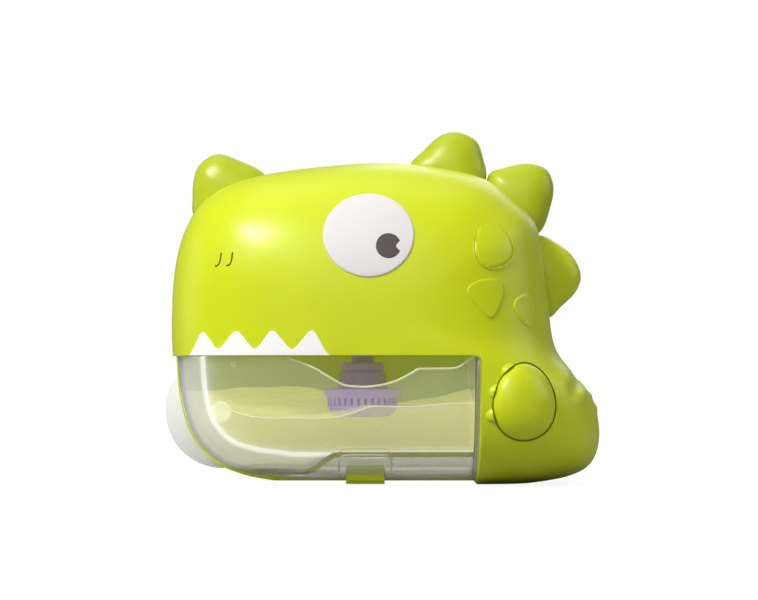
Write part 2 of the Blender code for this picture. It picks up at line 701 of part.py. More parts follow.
def tank():
    made = tank_volume("tank", 0, 0, TANK_BACK_Y)
    keep_inside(made, plate("mouth_limit", mouth_opening(0.3 * MM), -100 * MM, 100 * MM))
    cavity = tank_volume("cavity", TANK_WALL, 2.2 * MM, TANK_BACK_Y - TANK_WALL)
    floor = step_profile(TANK_FLOOR_Z, TANK_STEP_Z, 0, -120 * MM, 60 * MM, 90 * MM)
    keep_inside(cavity, plate("cavity_floor", floor, -90 * MM, 90 * MM))
    cut(made, cavity)
    hollow = tank_volume("under_hollow", TANK_WALL, -3 * MM, TANK_BACK_Y - TANK_WALL)
    roof = step_profile(TANK_FLOOR_Z - TANK_WALL, TANK_STEP_Z - TANK_WALL, 1 * MM,
                        -120 * MM, 60 * MM, 90 * MM)
    cut(hollow, plate("hollow_roof", roof, -90 * MM, 90 * MM))
    join(hollow, box("drop_out", (-72, -6, -2), (40, 22, 4)))
    cut(made, hollow)
    cut(made, plate("dip", dip_outline(), -80 * MM, 0))
    for x0, x1 in ((-18.6, -16.4), (3.4, 5.6)):
        join(made, box("latch_rib", (x0, 3, 2.6), (x1, 13, 14.6)))
    pin_ends = Vector((14 * MM, 0, 0))
    cut(made, cylinder("pin_bore", 1.4 * MM, LATCH_PIN - pin_ends, LATCH_PIN + pin_ends, 12))
    half = LATCH_HALF / MM + 0.6
    mid = LATCH_X / MM
    cut(made, box("tab_notch", (mid - half, -40, -2), (mid + half, 6, 4.8)))
    cut(made, box("finger_notch", (mid - 4.6, 20, -2), (mid + 4.6, 40, 9)))
    return made


def tank_latch():
    """A lever under the tank: finger tab at the front, barrel on the pin, finger at the back."""
    mid = LATCH_X / MM
    pin_y, pin_z = LATCH_PIN.y / MM, LATCH_PIN.z / MM
    side = [(-10, 0.9), (-11.8, 2.8), (pin_y - 3, 4.2), (pin_y, pin_z + 2.3), (pin_y + 4, 6.6),
            (29.5, 5.6), (29.5, 3.8), (pin_y + 2, 3.6), (pin_y - 1, 2.6), (-2, 0.7)]
    outline = [(y * MM, z * MM) for y, z in side]
    lever = plate("tank_latch", outline, LATCH_X - LATCH_HALF, LATCH_X + LATCH_HALF, "X")
    cut(lever, box("left_of_finger", (mid - 20, 18, -5), (mid - 4, 40, 20)))
    cut(lever, box("right_of_finger", (mid + 4, 18, -5), (mid + 20, 40, 20)))
    ends = Vector((12 * MM, 0, 0))
    return cut(lever, cylinder("lever_bore", 1.4 * MM, LATCH_PIN - ends, LATCH_PIN + ends, 12))


# --- foot button and its switch ----------------------------------------------------------------
def foot_button():
    """The foot's sole: a dome over the skin, a skirt through it and a flange that keeps it in."""
    flange = egg(BUTTON_CENTRE, BUTTON_HALF, 1.4 * MM)
    outline = egg(BUTTON_CENTRE, BUTTON_HALF)
    seat = WALL + 4 * GAP
    rings = [level_ring(flange, -20 * MM)]
    rings.append([(p.x, face_y(p.x, p.y, seat), p.y) for p in flange])
    rings.append([(p.x, face_y(p.x, p.y, seat), p.y) for p in outline])
    for size, rise in ((1, -0.4), (0.97, 0.9), (0.88, 2.6), (0.68, 4.3), (0.4, 5.4)):
        ring = []
        for point in outline:
            p = BUTTON_CENTRE + size * (point - BUTTON_CENTRE)
            ring.append((p.x, face_y(p.x, p.y) - rise * MM, p.y))
        rings.append(ring)
    tip = (BUTTON_CENTRE.x, face_y(BUTTON_CENTRE.x, BUTTON_CENTRE.y) - 5.8 * MM, BUTTON_CENTRE.y)
    made = loft("foot_button", rings, tip)
    cut(made, plate("button_hollow", egg(BUTTON_CENTRE, BUTTON_HALF, -2.4 * MM), -33 * MM, -15 * MM))
    stem_end = (BUTTON_CENTRE.x, -14.4 * MM, BUTTON_CENTRE.y)
    return join(made, cylinder("stem", 2.2 * MM, (BUTTON_CENTRE.x, -35 * MM, BUTTON_CENTRE.y), stem_end, 12))


def switch_parts(add):
    x, z = BUTTON_CENTRE.x / MM, BUTTON_CENTRE.y / MM
    add(box("circuit_board", (x - 11, -4, z - 13), (x + 20, -2.4, z + 12)), "board")
    add(box("control_chip", (x - 2, -2.1, z - 4), (x + 8, -0.6, z + 4)), "black")
    body = box("switch_body", (x - 4, -9.5, z - 4), (x + 4, -4.3, z + 4))
    cut(body, cylinder("plunger_bore", 1.9 * MM, (x * MM, -12 * MM, z * MM), (x * MM, -6.3 * MM, z * MM), 12))
    add(body, "black")
    tip = Vector((x, -14.1, z)) * MM
    add(cylinder("switch_plunger", 1.5 * MM, tip, (x * MM, -8.6 * MM, z * MM), 12), "white", tip)
    coil = coil_points(4, 7, (x, -32.3, z), (x, -5.2, z))
    add(wire("button_spring", coil, 0.45 * MM), "steel")


# --- frother and motor -------------------------------------------------------------------------
def on_axis(z_mm=0):
    return Vector((FROTH_X, FROTH_Y, z_mm * MM))


def frother_neck():
    profile = [(3.6, 66), (4.9, 66), (4.9, 54.6), (8.9, 54.5), (9.5, 53.9), (9.8, 51.3), (9.2, 51),
               (9.2, 50.5), (10, 50.2), (11.1, 43.6), (11.1, 39.2), (9.4, 39.2), (9.4, 44.6), (3.6, 46)]
    neck = turned("frother_neck", profile, on_axis(), steps=24)
    for i in range(3):
        lug = box("lug", (10.3, -2, 39.3), (13.8, 2, 40.9))
        lug.data.transform(Matrix.Rotation(math.radians(120 * i + 30), 4, "Z"))
        lug.data.transform(Matrix.Translation(on_axis()))
        join(neck, lug)
    return neck


def frother_basket():
    profile = [(0, 32.2), (10.8, 32.2), (13.4, 33.9), (14.1, 35.2), (14.1, 39.2), (15.4, 41.4),
               (11.5, 41.4), (11.5, 42.9), (17.5, 42.9), (17.5, 42.2), (16.1, 39.5), (15.6, 39.2),
               (15.6, 34.9), (14.6, 32.7), (11.8, 30.8), (0, 30.8)]
    basket = turned("frother_basket", profile, on_axis(), steps=32)
    for i in range(3):
        notch = box("lug_way", (10, -2.5, 40.5), (14.3, 2.5, 44))
        notch.data.transform(Matrix.Rotation(math.radians(120 * i + 60), 4, "Z"))
        notch.data.transform(Matrix.Translation(on_axis()))
        cut(basket, notch)
    count = 32
    for i in range(count):
        slot = box("slot", (13, -0.62, 35.6), (17, 0.62, 38.8))
        slot.data.transform(Matrix.Rotation(math.radians((i + 0.5) * 360 / count), 4, "Z"))
        slot.data.transform(Matrix.Translation(on_axis()))
        cut(basket, slot)
    return basket


def impeller():
    profile = [(1.8, 39.6), (3.4, 39.6), (3.6, 34.6), (12.4, 34.6), (12.4, 33.4), (1.8, 33.4)]
    made = turned("impeller", profile, on_axis(), steps=24)
    for i in range(6):
        blade = box("blade", (2.6, -0.6, 34), (12.2, 0.6, 38.8))
        blade.data.transform(Matrix.Rotation(math.radians(60 * i), 4, "Z"))
        blade.data.transform(Matrix.Translation(on_axis()))
        join(made, blade)
    return made


def motor_bracket():
    ring = turned("motor_bracket", [(12.5, 92), (14.4, 92), (14.4, 81), (12.5, 81)], on_axis(), steps=24)
    x, y = FROTH_X / MM, FROTH_Y / MM
    for side in (-1, 1):
        near, far = sorted((x + side * 13.4, x + side * 17.5))
        join(ring, box("leg", (near, y - 3, 66.3), (far, y + 3, 91)))
        near, far = sorted((x + side * 14, x + side * 26))
        join(ring, box("foot", (near, y - 4, 66.3), (far, y + 4, 68.5)))
        at = Vector((FROTH_X + side * 22 * MM, FROTH_Y, 0))
        up = Vector((0, 0, 1))
        cut(ring, cylinder("foot_hole", SCREW_HOLE_R, at + up * 60 * MM, at + up * 80 * MM, 10))
    return ring


def motor_parts(add):
    can = [(3, 76), (3, 77), (11.4, 77), (11.4, 101.6), (12.2, 101.6), (12.2, 76)]
    add(turned("motor_can", can, on_axis(), steps=20), "steel")
    cap = [(2.2, 104), (11.8, 104), (12.2, 103.6), (12.2, 101.9), (2.2, 101.9)]
    add(turned("motor_end_cap", cap, on_axis(), steps=20), "white")
    armature = [(0, 103.4), (1.5, 103.4), (1.5, 98), (9.4, 98), (9.4, 81), (1.5, 81), (1.5, 71.2), (0, 71.2)]
    add(turned("motor_armature", armature, on_axis(), steps=20), "steel", on_axis(90))
    add(motor_bracket(), "black")
    coupler = [(1.8, 75), (4, 75), (4, 67), (1.8, 67)]
    add(turned("shaft_coupler", coupler, on_axis(), steps=16), "black", on_axis(71))
    shaft = [(0, 70.6), (1.5, 70.6), (1.5, 34.2), (0, 34.2)]
    add(turned("drive_shaft", shaft, on_axis(), steps=16), "steel", on_axis(50))
    bush = [(1.75, 53), (3.4, 53), (3.4, 47), (1.75, 47)]
    add(turned("shaft_bush", bush, on_axis(), steps=16), "brass")
    seal = [(1.7, 58.6), (3.4, 58.6), (3.4, 55), (2.4, 55), (1.7, 56)]
    add(turned("shaft_seal", seal, on_axis(), steps=16), "rubber")
    nut = [(5.3, 64.4), (8.6, 64.4), (9, 64), (9, 60.4), (5.3, 60.4)]
    add(turned("neck_nut", nut, on_axis(), steps=12), "purple")


# --- battery compartment ------------------------------------------------------------------------
def battery_parts(add):
    x, z = BATTERY_X / MM, BATTERY_Z / MM
    front, rear = BOX_FRONT_Y / MM, BOX_REAR_Y / MM
    cx, cz = BOX_CAVITY_HALF / MM
    tray = box("battery_box", (x - cx - 1.6, front, z - cz - 1.6), (x + cx + 1.6, rear, z + cz + 1.6))
    join(tray, box("flange", (x - 30, rear - 2.1, z - 37), (x + 30, rear, z + 37)))
    cut(tray, box("cavity", (x - cx, front + 1.6, z - cz), (x + cx, rear + 5, z + cz)))
    for side in (-1, 1):
        hole_z = (z + side * 32) * MM
        boss = cylinder("boss", 3 * MM, (x * MM, 24 * MM, hole_z), (x * MM, rear * MM - 1 * MM, hole_z), 12)
        join(tray, boss)
        cut(tray, cylinder("pilot", SCREW_HOLE_R, (x * MM, 25.5 * MM, hole_z), (x * MM, 40 * MM, hole_z), 10))
    add(tray, "black")
    cell_y = front + 1.6 + 0.3 + CELL_R / MM
    for i in (-1, 0, 1):
        cell_x = x + i * CELL_PITCH / MM
        up = 1 if i else -1
        label = ("left", "middle", "right")[i + 1]
        place = Vector((cell_x, cell_y, z)) * MM
        profile = [(0, 26.2), (2.6, 26.2), (2.6, 25.2), (7.2, 25.2), (7.2, -23), (0, -23)]
        cell = turned("battery_cell_" + label, profile, (0, 0, 0), steps=16)
        if up < 0:
            cell.data.transform(Matrix.Rotation(math.pi, 4, "X"))
        cell.data.transform(Matrix.Translation(place))
        add(cell, "dark")
        low = z - up * 26.6
        high = z - up * 23.6
        coil = coil_points(2, 5, (cell_x, cell_y, low), (cell_x, cell_y, high), 8, 0.6)
        add(wire("battery_spring_" + label, coil, 0.35 * MM), "steel")
        end = z + up * 26.65
        plate_low, plate_high = sorted((end - 0.15, end + 0.25))
        corners = (cell_x - 4, cell_y - 4, plate_low), (cell_x + 4, cell_y + 4, plate_high)
        add(box("contact_plate_" + label, *corners), "brass")
    hx, hz = DOOR_HALF / MM
    pivot = Vector((BATTERY_X, BACK_Y, BATTERY_Z))
    door = box("battery_door", (x - hx, 35.4, z - hz), (x + hx, 37, z + hz))
    gasket = box("door_gasket", (x - 25.2, 34.45, z - 29.4), (x + 25.2, 35.25, z + 29.4))
    cut(gasket, box("gasket_inside", (x - 23, 30, z - 27.3), (x + 23, 40, z + 27.3)))
    for side, label in ((-1, "low"), (1, "high")):
        at = Vector((x, 0, z + side * 32)) * MM
        cut(door, cylinder("door_hole", SCREW_HOLE_R, (at.x, 30 * MM, at.z), (at.x, 50 * MM, at.z), 10))
        add(screw("door_screw_" + label, at, 37.3 * MM, 10), "steel", pivot)
    add(door, "green", pivot)
    add(gasket, "rubber", pivot)


def screw(name, at, seat_y, length_mm, axis="Y", sides=8):
    """A pan-head screw whose head sits on seat_y and whose shank runs towards the face."""
    profile = [(0, 2), (1.9, 2), (2.8, 1.2), (2.8, 0), (1.3, 0), (1.3, -length_mm + 0.8), (0.5, -length_mm),
               (0, -length_mm)]
    if axis == "Y":
        return turned(name, profile, (at.x, seat_y, at.z), "Y", sides)
    return turned(name, profile, at, "Z", sides)


def suction_cup(name, x, z):
    """A soft cup: mushroom plug through the back, neck, and a thin bell."""
    back, rim, edge = BACK_Y / MM, (BACK_Y + CUP_DEPTH) / MM, CUP_R / MM
    profile = [(0, 31.2), (3.6, 31.2), (5.2, 32.6), (5.2, 34.2), (3.1, 34.2), (3.1, back + 0.4),
               (9, back + 0.4), (16, back + 1.9), (edge - 4, back + 5.2), (edge, rim - 0.5),
               (edge - 0.4, rim), (edge - 5.5, back + 5.9), (14.5, back + 3.4), (6, back + 2.4),
               (0, back + 2.3)]
    return turned(name, profile, (x * MM, 0, z * MM), "Y", 20)


def add_wires(add):
    red = ((14, 28, 131), (20, 24, 136), (30, 10, 132), (30, -4, 118), (12, -8, 110), (1, -8, 104.6))
    black = ((-14, -8, 104.6), (-16, -6, 112), (20, 4, 120), (50, 8, 96), (62, 8, 70), (66, 3, 54),
             (66, -1.6, 48))
    add(wire("wire_red", red, 0.7 * MM), "red")
    add(wire("wire_black", black, 0.7 * MM), "rubber")


def build():
    clear_scene()
    home = part_collection()

    def add(obj, kind, pivot=None):
        return finish_part(obj, kind, home, pivot)

    button_pivot = (BUTTON_CENTRE.x, FACE_Y, BUTTON_CENTRE.y)
    add(front_shell(), "green")
    add(rear_shell(), "green")
    add(tank_bay(), "green")
    add(tank(), "clear", (0, TANK_BACK_Y, 0))
    add(tank_latch(), "green", LATCH_PIN)
    pin_reach = Vector((11.8 * MM, 0, 0))
    add(cylinder("latch_pin", 1.15 * MM, LATCH_PIN - pin_reach, LATCH_PIN + pin_reach, 12), "steel")
    add(skin_piece("teeth_strip", teeth_outline(), -0.3 * MM, 0.9 * MM), "white")
    eye = skin_piece("eye_white", ellipse(EYE_CENTRE, EYE_HALF), -0.8 * MM, 0.9 * MM)
    add(cut(eye, skin_pocket("pupil_pocket", pupil_pocket(), -0.1 * MM)), "white")
    add(skin_piece("eye_pupil", pupil_outline(), -1.2 * MM, -0.25 * MM), "dark")
    for name, (corners, root) in SPIKES.items():
        add(spike(name, corners, root), "green")
    add(foot_button(), "green", button_pivot)
    switch_parts(add)
    add(frother_neck(), "purple")
    add(frother_basket(), "purple", on_axis(36))
    add(impeller(), "white", on_axis(35))
    motor_parts(add)
    battery_parts(add)
    for name, (x, z) in CUP_SPOTS.items():
        add(suction_cup(name, x, z), "soft_clear")
    for i, (x, z) in enumerate(SHELL_SCREWS):
        add(screw(f"shell_screw_{i + 1}", Vector((x, 0, z)) * MM, BACK_Y - 3.7 * MM, 17), "steel")
    for i, (x, z) in enumerate(BAY_SCREWS):
        add(screw(f"bay_screw_{i + 1}", Vector((x, 0, z)) * MM, BACK_Y - 3.7 * MM, 12), "steel")
    for side, label in ((-1, "left"), (1, "right")):
        at = Vector((FROTH_X + side * 22 * MM, FROTH_Y, 68.8 * MM))
        add(screw("bracket_screw_" + label, at, 0, 7, "Z"), "steel")
    add_wires(add)


def pupil_pocket():
    """The pupil's outline, grown by the gap all round."""
    grown = []
    for point in pupil_outline():
        away = point - PUPIL_CENTRE
        grown.append(point + away.normalized() * GAP)
    return grown


build()
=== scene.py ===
"""Looks for the dinosaur bubble machine: the CAD's shapes, skinned finely and given their finishes."""

import json
import math

import bmesh
import bpy
import numpy as np
from mathutils import Matrix, Vector
from mathutils.geometry import delaunay_2d_cdt, interpolate_bezier


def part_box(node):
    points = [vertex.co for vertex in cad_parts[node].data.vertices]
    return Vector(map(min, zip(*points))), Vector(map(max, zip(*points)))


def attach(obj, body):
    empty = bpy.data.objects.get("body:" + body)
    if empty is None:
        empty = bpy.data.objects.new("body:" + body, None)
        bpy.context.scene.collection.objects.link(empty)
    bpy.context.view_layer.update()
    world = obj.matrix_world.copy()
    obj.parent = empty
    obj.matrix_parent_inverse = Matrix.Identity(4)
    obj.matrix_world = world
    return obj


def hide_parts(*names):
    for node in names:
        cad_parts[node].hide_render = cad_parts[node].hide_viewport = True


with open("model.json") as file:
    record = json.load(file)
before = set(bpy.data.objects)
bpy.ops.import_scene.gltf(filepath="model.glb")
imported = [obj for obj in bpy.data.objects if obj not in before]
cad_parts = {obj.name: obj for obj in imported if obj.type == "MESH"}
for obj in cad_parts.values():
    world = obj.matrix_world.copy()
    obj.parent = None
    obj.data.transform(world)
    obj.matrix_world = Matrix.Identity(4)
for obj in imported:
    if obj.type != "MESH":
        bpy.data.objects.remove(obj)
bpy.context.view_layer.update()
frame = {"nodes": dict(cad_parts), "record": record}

MM = 0.001


def centre_of(node):
    low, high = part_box(node)
    return (Vector(low) + Vector(high)) / 2


# --- the pillow, as in the CAD ---
PARTING_Y = 27 * MM
FRONT_DEPTH = 72 * MM
BACK_DEPTH = 10 * MM
BACK_EDGE = 6 * MM
BACK_Y = PARTING_Y + BACK_DEPTH
FACE_Y = PARTING_Y - FRONT_DEPTH
WALL = 2.4 * MM
GAP = 0.3 * MM
FULLNESS = 2.9
BODY_CENTRE = Vector((-5 * MM, 72 * MM))
BODY_OUTLINE = (
    (-35, -1.2), (-50, 0.2), (-64, 3), (-76.5, 8.6), (-87, 20.4), (-92.4, 36.6), (-94.5, 57),
    (-95, 77), (-93.4, 99), (-88.8, 115.5), (-80.5, 128.2), (-64.5, 137.2), (-40, 142.4),
    (-2, 145.6), (26, 143.6), (47, 138.6), (61, 129.3), (71.2, 117.6), (74.8, 100), (77, 79),
    (79.9, 61.5), (88.1, 49), (96.6, 38), (99.94, 25), (98.8, 14), (94.4, 7), (86.5, 3),
    (76.6, 0.8), (64, -0.7), (48, -1.2), (8, -1.4),
)
MOUTH_Z = 57.5 * MM
TANK_SIDE_X = 43.3 * MM
MOUTH_CORNER = 3 * MM
SPIKES = {
    "nose_horn": ((-86, 122), (-87.2, 131), (-86.6, 139.6), (-84, 146.5), (-76, 151.3),
                  (-66, 148.8), (-53, 141.3), (-54, 128), (-75, 117)),
    "back_spike_top": ((13.5, 144.5), (21.2, 154), (28.8, 160.4), (36.7, 161.7), (44.6, 158),
                       (47.8, 150.5), (49.4, 140), (44, 130), (22, 133)),
    "back_spike_middle": ((50.4, 141.4), (58, 145.2), (68.5, 147.2), (77.2, 144.6),
                          (80.6, 136.8), (79.4, 127.5), (74.2, 115), (62, 112), (51, 129)),
    "back_spike_low": ((74, 113.6), (82.5, 109.8), (89.3, 104.2), (93.2, 95.4), (91, 87.6),
                       (84, 80.4), (77.4, 75.2), (66, 80), (64, 108)),
}
SPIKE_DEPTH = 10.5 * MM
TEETH = ((-83.6, 57.5), (-76.6, 67.6), (-69.6, 60.3), (-61.4, 67.9), (-53.2, 60.3),
         (-45.8, 68), (-37.2, 60.1), (-28.8, 68), (-21.1, 57.5))
SCALES = (
    ((42.5, 113), (40.6, 106.5), (41.2, 98.8), (47.3, 95), (54.6, 97.3), (57.6, 102.8),
     (56, 109.5), (50.5, 115)),
    ((37, 85.3), (42.5, 89.6), (50.6, 89.8), (53, 85), (50.8, 78), (47, 73.5), (41.5, 78.6)),
    ((57.6, 79), (60, 83), (65, 83.8), (68, 79), (67.2, 72), (64.8, 69.5), (60.5, 73)),
)
TOES = ((55.5, 50.6), (50.2, 41.8), (49.2, 31.8))
TAIL_RELIEF = (((81.5, 48.8), 3.2, 0.7), ((85.2, 43.2), 2.3, -1.1), ((88.6, 39.4), 2.6, 0.8),
               ((80.5, 42), 3.0, 0.3), ((92.2, 45.6), 1.6, 0.9), ((95.6, 40.4), 1.5, 0.9),
               ((97.6, 34.2), 1.6, 0.8))  # each a centre, a width and a height in mm
EYE_CENTRE = Vector((-4.9, 108.9)) * MM
EYE_HALF = Vector((19.4, 18.2)) * MM
PUPIL_CENTRE = Vector((3.5, 103.9)) * MM
PUPIL_RADIUS = 5.3 * MM
BUTTON_CENTRE = Vector((61.8, 37.6)) * MM
BUTTON_HALF = Vector((13.6, 16.5)) * MM

AXIS = centre_of("drive_shaft")
FROTH_X, FROTH_Y = AXIS.x, AXIS.y
CUPS = {name: centre_of(name) for name in
        ("suction_cup_nose", "suction_cup_tail", "suction_cup_brow", "suction_cup_neck")}
DOOR_LOW, DOOR_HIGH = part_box("battery_door")
REAR_SCREWS = ("shell_screw_1", "shell_screw_2", "shell_screw_3", "shell_screw_4",
               "bay_screw_1", "bay_screw_2")

TANK_INSET = 2.2 * MM
TANK_WALL = 2.2 * MM
TANK_BACK_Y = 25.8 * MM
TANK_FLOOR_Z = 8.3 * MM
TANK_STEP_Z = 16 * MM


# --- mesh helpers ---
def object_of(data, name):
    made = bpy.data.objects.new(name, data)
    bpy.context.scene.collection.objects.link(made)
    return made


def object_from(work, name):
    """Turns a finished bmesh into an object."""
    mesh = bpy.data.meshes.new(name)
    work.to_mesh(mesh)
    work.free()
    return object_of(mesh, name)


def evaluated_mesh(obj):
    bpy.context.view_layer.update()
    graph = bpy.context.evaluated_depsgraph_get()
    return bpy.data.meshes.new_from_object(obj.evaluated_get(graph))


def baked(obj):
    """Swaps an object for a plain mesh of what it shows, in world coordinates."""
    mesh = evaluated_mesh(obj)
    mesh.transform(obj.matrix_world)
    work = bmesh.new()
    work.from_mesh(mesh)
    bmesh.ops.remove_doubles(work, verts=work.verts, dist=0.001 * MM)
    bmesh.ops.recalc_face_normals(work, faces=work.faces)
    work.to_mesh(mesh)
    work.free()
    name = obj.name
    bpy.data.objects.remove(obj)
    return object_of(mesh, name)


def boolean(target, tool, operation):
    modifier = target.modifiers.new(operation.title(), "BOOLEAN")
    modifier.object = tool
    modifier.operation = operation
    mesh = evaluated_mesh(target)
    target.modifiers.clear()
    target.data = mesh
    bpy.data.objects.remove(tool)
    return target


def cut(target, *tools):
    for tool in tools:
        boolean(target, tool, "DIFFERENCE")
    return target


def join(target, *tools):
    for tool in tools:
        boolean(target, tool, "UNION")
    return target


def keep_inside(target, tool):
    return boolean(target, tool, "INTERSECT")


def gather(name, *objects):
    """One object holding the meshes of several, left as separate shells."""
    work = bmesh.new()
    for obj in objects:
        mesh = evaluated_mesh(obj)
        mesh.transform(obj.matrix_world)
        work.from_mesh(mesh)
        bpy.data.objects.remove(obj)
    return object_from(work, name)


def smooth(obj, angle=32):
    obj.data.shade_smooth()
    obj.data.set_sharp_from_angle(angle=math.radians(angle))
    return obj


def box(name, low, high, bevel=0.0):
    """A box between two corners in mm, with rounded edges if bevel is set."""
    low, high = Vector(low) * MM, Vector(high) * MM
    work = bmesh.new()
    bmesh.ops.create_cube(work, size=1)
    bmesh.ops.scale(work, vec=high - low, verts=work.verts)
    bmesh.ops.translate(work, vec=(low + high) / 2, verts=work.verts)
    if bevel:
        bmesh.ops.bevel(work, geom=work.edges[:], offset=bevel * MM, segments=3, profile=0.5,
                        affect="EDGES")
    return object_from(work, name)


def cylinder(name, radius, start, end, sides=48):
    start, end = Vector(start), Vector(end)
    along = end - start
    work = bmesh.new()
    bmesh.ops.create_cone(work, cap_ends=True, segments=sides, radius1=radius, radius2=radius,
                          depth=along.length)
    turn = along.to_track_quat("Z", "Y").to_matrix().to_4x4()
    work.transform(Matrix.Translation((start + end) / 2) @ turn)
    return object_from(work, name)


def ball(name, radius, centre, stretch=(1, 1, 1), segments=48, rings=24):
    work = bmesh.new()
    bmesh.ops.create_uvsphere(work, u_segments=segments, v_segments=rings, radius=radius)
    work.transform(Matrix.Translation(centre) @ Matrix.Diagonal((*stretch, 1)))
    return object_from(work, name)


def rounded(profile, radius, steps=3):
    """A profile with its inner corners rounded by up to radius, all in mm."""
    points = [Vector(p) for p in profile]
    result = [points[0]]
    for before, corner, after in zip(points, points[1:], points[2:]):
        into, out = before - corner, after - corner
        r = min(radius, into.length * 0.45, out.length * 0.45)
        start, end = corner + into.normalized() * r, corner + out.normalized() * r
        for i in range(steps + 1):
            t = i / steps
            result.append(start.lerp(corner, t).lerp(corner.lerp(end, t), t))
    result.append(points[-1])
    return result


def turned(name, profile, place, axis="Z", steps=96, radius=0.0):
    """A profile of (radius, height) in mm, turned about the axis through place."""
    if radius:
        profile = rounded(profile, radius)
    mesh = bpy.data.meshes.new(name)
    points = [(p[0] * MM, 0, p[1] * MM) for p in profile]
    edges = [(i, i + 1) for i in range(len(points) - 1)]
    if profile[0][0] > 0 and profile[-1][0] > 0:
        edges.append((len(points) - 1, 0))
    mesh.from_pydata(points, edges, [])
    made = object_of(mesh, name)
    screw = made.modifiers.new("Turn", "SCREW")
    screw.steps = screw.render_steps = steps
    screw.use_merge_vertices = True
    screw.merge_threshold = 0.005 * MM
    made.location = place
    if axis == "Y":
        made.rotation_euler.x = -math.pi / 2
    return baked(made)


def plate(name, outline, start, end, axis="Y"):
    """A flat outline in metres with thickness along an axis."""
    curve = bpy.data.curves.new(name, "CURVE")
    curve.dimensions = "2D"
    curve.fill_mode = "BOTH"
    curve.extrude = (end - start) / 2
    spline = curve.splines.new("POLY")
    spline.points.add(len(outline) - 1)
    for point, (x, z) in zip(spline.points, outline):
        point.co = (x, z, 0, 1)
    spline.use_cyclic_u = True
    made = object_of(curve, name)
    quarter = math.pi / 2
    made.rotation_euler = {"X": (quarter, 0, quarter), "Y": (quarter, 0, 0), "Z": (0, 0, 0)}[axis]
    made.location["XYZ".index(axis)] = (start + end) / 2
    return baked(made)


def wire(name, points, radius):
    """A round wire through points in metres."""
    curve = bpy.data.curves.new(name, "CURVE")
    curve.dimensions = "3D"
    curve.bevel_depth = radius
    curve.bevel_resolution = 3
    curve.use_fill_caps = True
    spline = curve.splines.new("POLY")
    spline.points.add(len(points) - 1)
    for point, place in zip(spline.points, points):
        point.co = (*place, 1)
    return baked(object_of(curve, name))


def smooth_outline(corners, count):
    """A closed smooth curve through corners in mm, as evenly spaced (x, z) points in metres."""
    knots = [Vector((x * MM, z * MM)) for x, z in corners]
    dense = []
    for i, knot in enumerate(knots):
        before, after = knots[i - 1], knots[(i + 1) % len(knots)]
        beyond = knots[(i + 2) % len(knots)]
        leave = knot + (after - before) / 6
        arrive = after - (beyond - knot) / 6
        dense += interpolate_bezier(knot, leave, arrive, after, 24)[:-1]
    lengths = [0.0]
    for i, point in enumerate(dense):
        lengths.append(lengths[-1] + (dense[(i + 1) % len(dense)] - point).length)
    evenly, at = [], 0
    for k in range(count):
        wanted = lengths[-1] * k / count
        while lengths[at + 1] < wanted:
            at += 1
        share = (wanted - lengths[at]) / (lengths[at + 1] - lengths[at])
        evenly.append(dense[at].lerp(dense[(at + 1) % len(dense)], share))
    return evenly


def inset_outline(points, inset):
    moved = []
    for i, point in enumerate(points):
        along = (points[(i + 1) % len(points)] - points[i - 1]).normalized()
        moved.append(point + inset * Vector((along.y, -along.x)))
    return moved


def egg(grow=0.0, size=1.0):
    """The foot button's outline, grown by a margin and then scaled."""
    points = []
    for i in range(128):
        a = 2 * math.pi * i / 128
        narrow = 1 - 0.10 * math.sin(a)
        points.append(Vector((BUTTON_CENTRE.x + size * (BUTTON_HALF.x + grow) * narrow * math.cos(a),
                              BUTTON_CENTRE.y + size * (BUTTON_HALF.y + grow) * math.sin(a))))
    return points


def loft(name, rings, pole=None, floor_z=None):
    count = len(rings[0])
    points = [tuple(p) for ring in rings for p in ring]
    faces = []
    for k in range(len(rings) - 1):
        a, b = k * count, (k + 1) * count
        for i in range(count):
            j = (i + 1) % count
            faces.append((a + i, a + j, b + j, b + i))
    faces.append(tuple(range(count)))
    last = (len(rings) - 1) * count
    if pole is None:
        faces.append(tuple(range(last, last + count)))
    else:
        points.append(tuple(pole))
        faces += [(last + i, last + (i + 1) % count, len(points) - 1) for i in range(count)]
    mesh = bpy.data.meshes.new(name)
    mesh.from_pydata(points, [], faces)
    skin = bmesh.new()
    skin.from_mesh(mesh)
    bmesh.ops.triangulate(skin, faces=[face for face in skin.faces if len(face.verts) == 4])
    if floor_z is not None:
        everything = skin.verts[:] + skin.edges[:] + skin.faces[:]
        sliced = bmesh.ops.bisect_plane(skin, geom=everything, dist=0.0001 * MM, plane_co=(0, 0, floor_z),
                                        plane_no=(0, 0, -1), clear_outer=True)
        rim = [e for e in sliced["geom_cut"] if isinstance(e, bmesh.types.BMEdge)]
        bmesh.ops.holes_fill(skin, edges=rim)
    bmesh.ops.recalc_face_normals(skin, faces=skin.faces)
    skin.to_mesh(mesh)
    skin.free()
    return object_of(mesh, name)


def even_angles(count):
    """Ring angles, in radians from rim to face, that space the pillow's rings evenly."""
    fine = np.linspace(0, math.pi / 2, 4000)
    size = np.cos(fine).clip(0, 1) ** (2 / FULLNESS) * 88 * MM
    deep = np.sin(fine) ** (2 / FULLNESS) * FRONT_DEPTH
    length = np.concatenate([[0], np.cumsum(np.hypot(np.diff(size), np.diff(deep)))])
    return np.interp(np.linspace(0, length[-1], count + 1), length, fine)[1:-1]


def pillow_rings(outline, centre, mid_y, depth, fullness, angles):
    rings = []
    for a in angles:
        size, reach = math.cos(a) ** (2 / fullness), math.sin(a) ** (2 / fullness)
        rings.append([(centre.x + size * (p.x - centre.x), mid_y + depth * reach,
                       centre.y + size * (p.y - centre.y)) for p in outline])
    return rings


def level_ring(outline, y):
    return [(p.x, y, p.y) for p in outline]


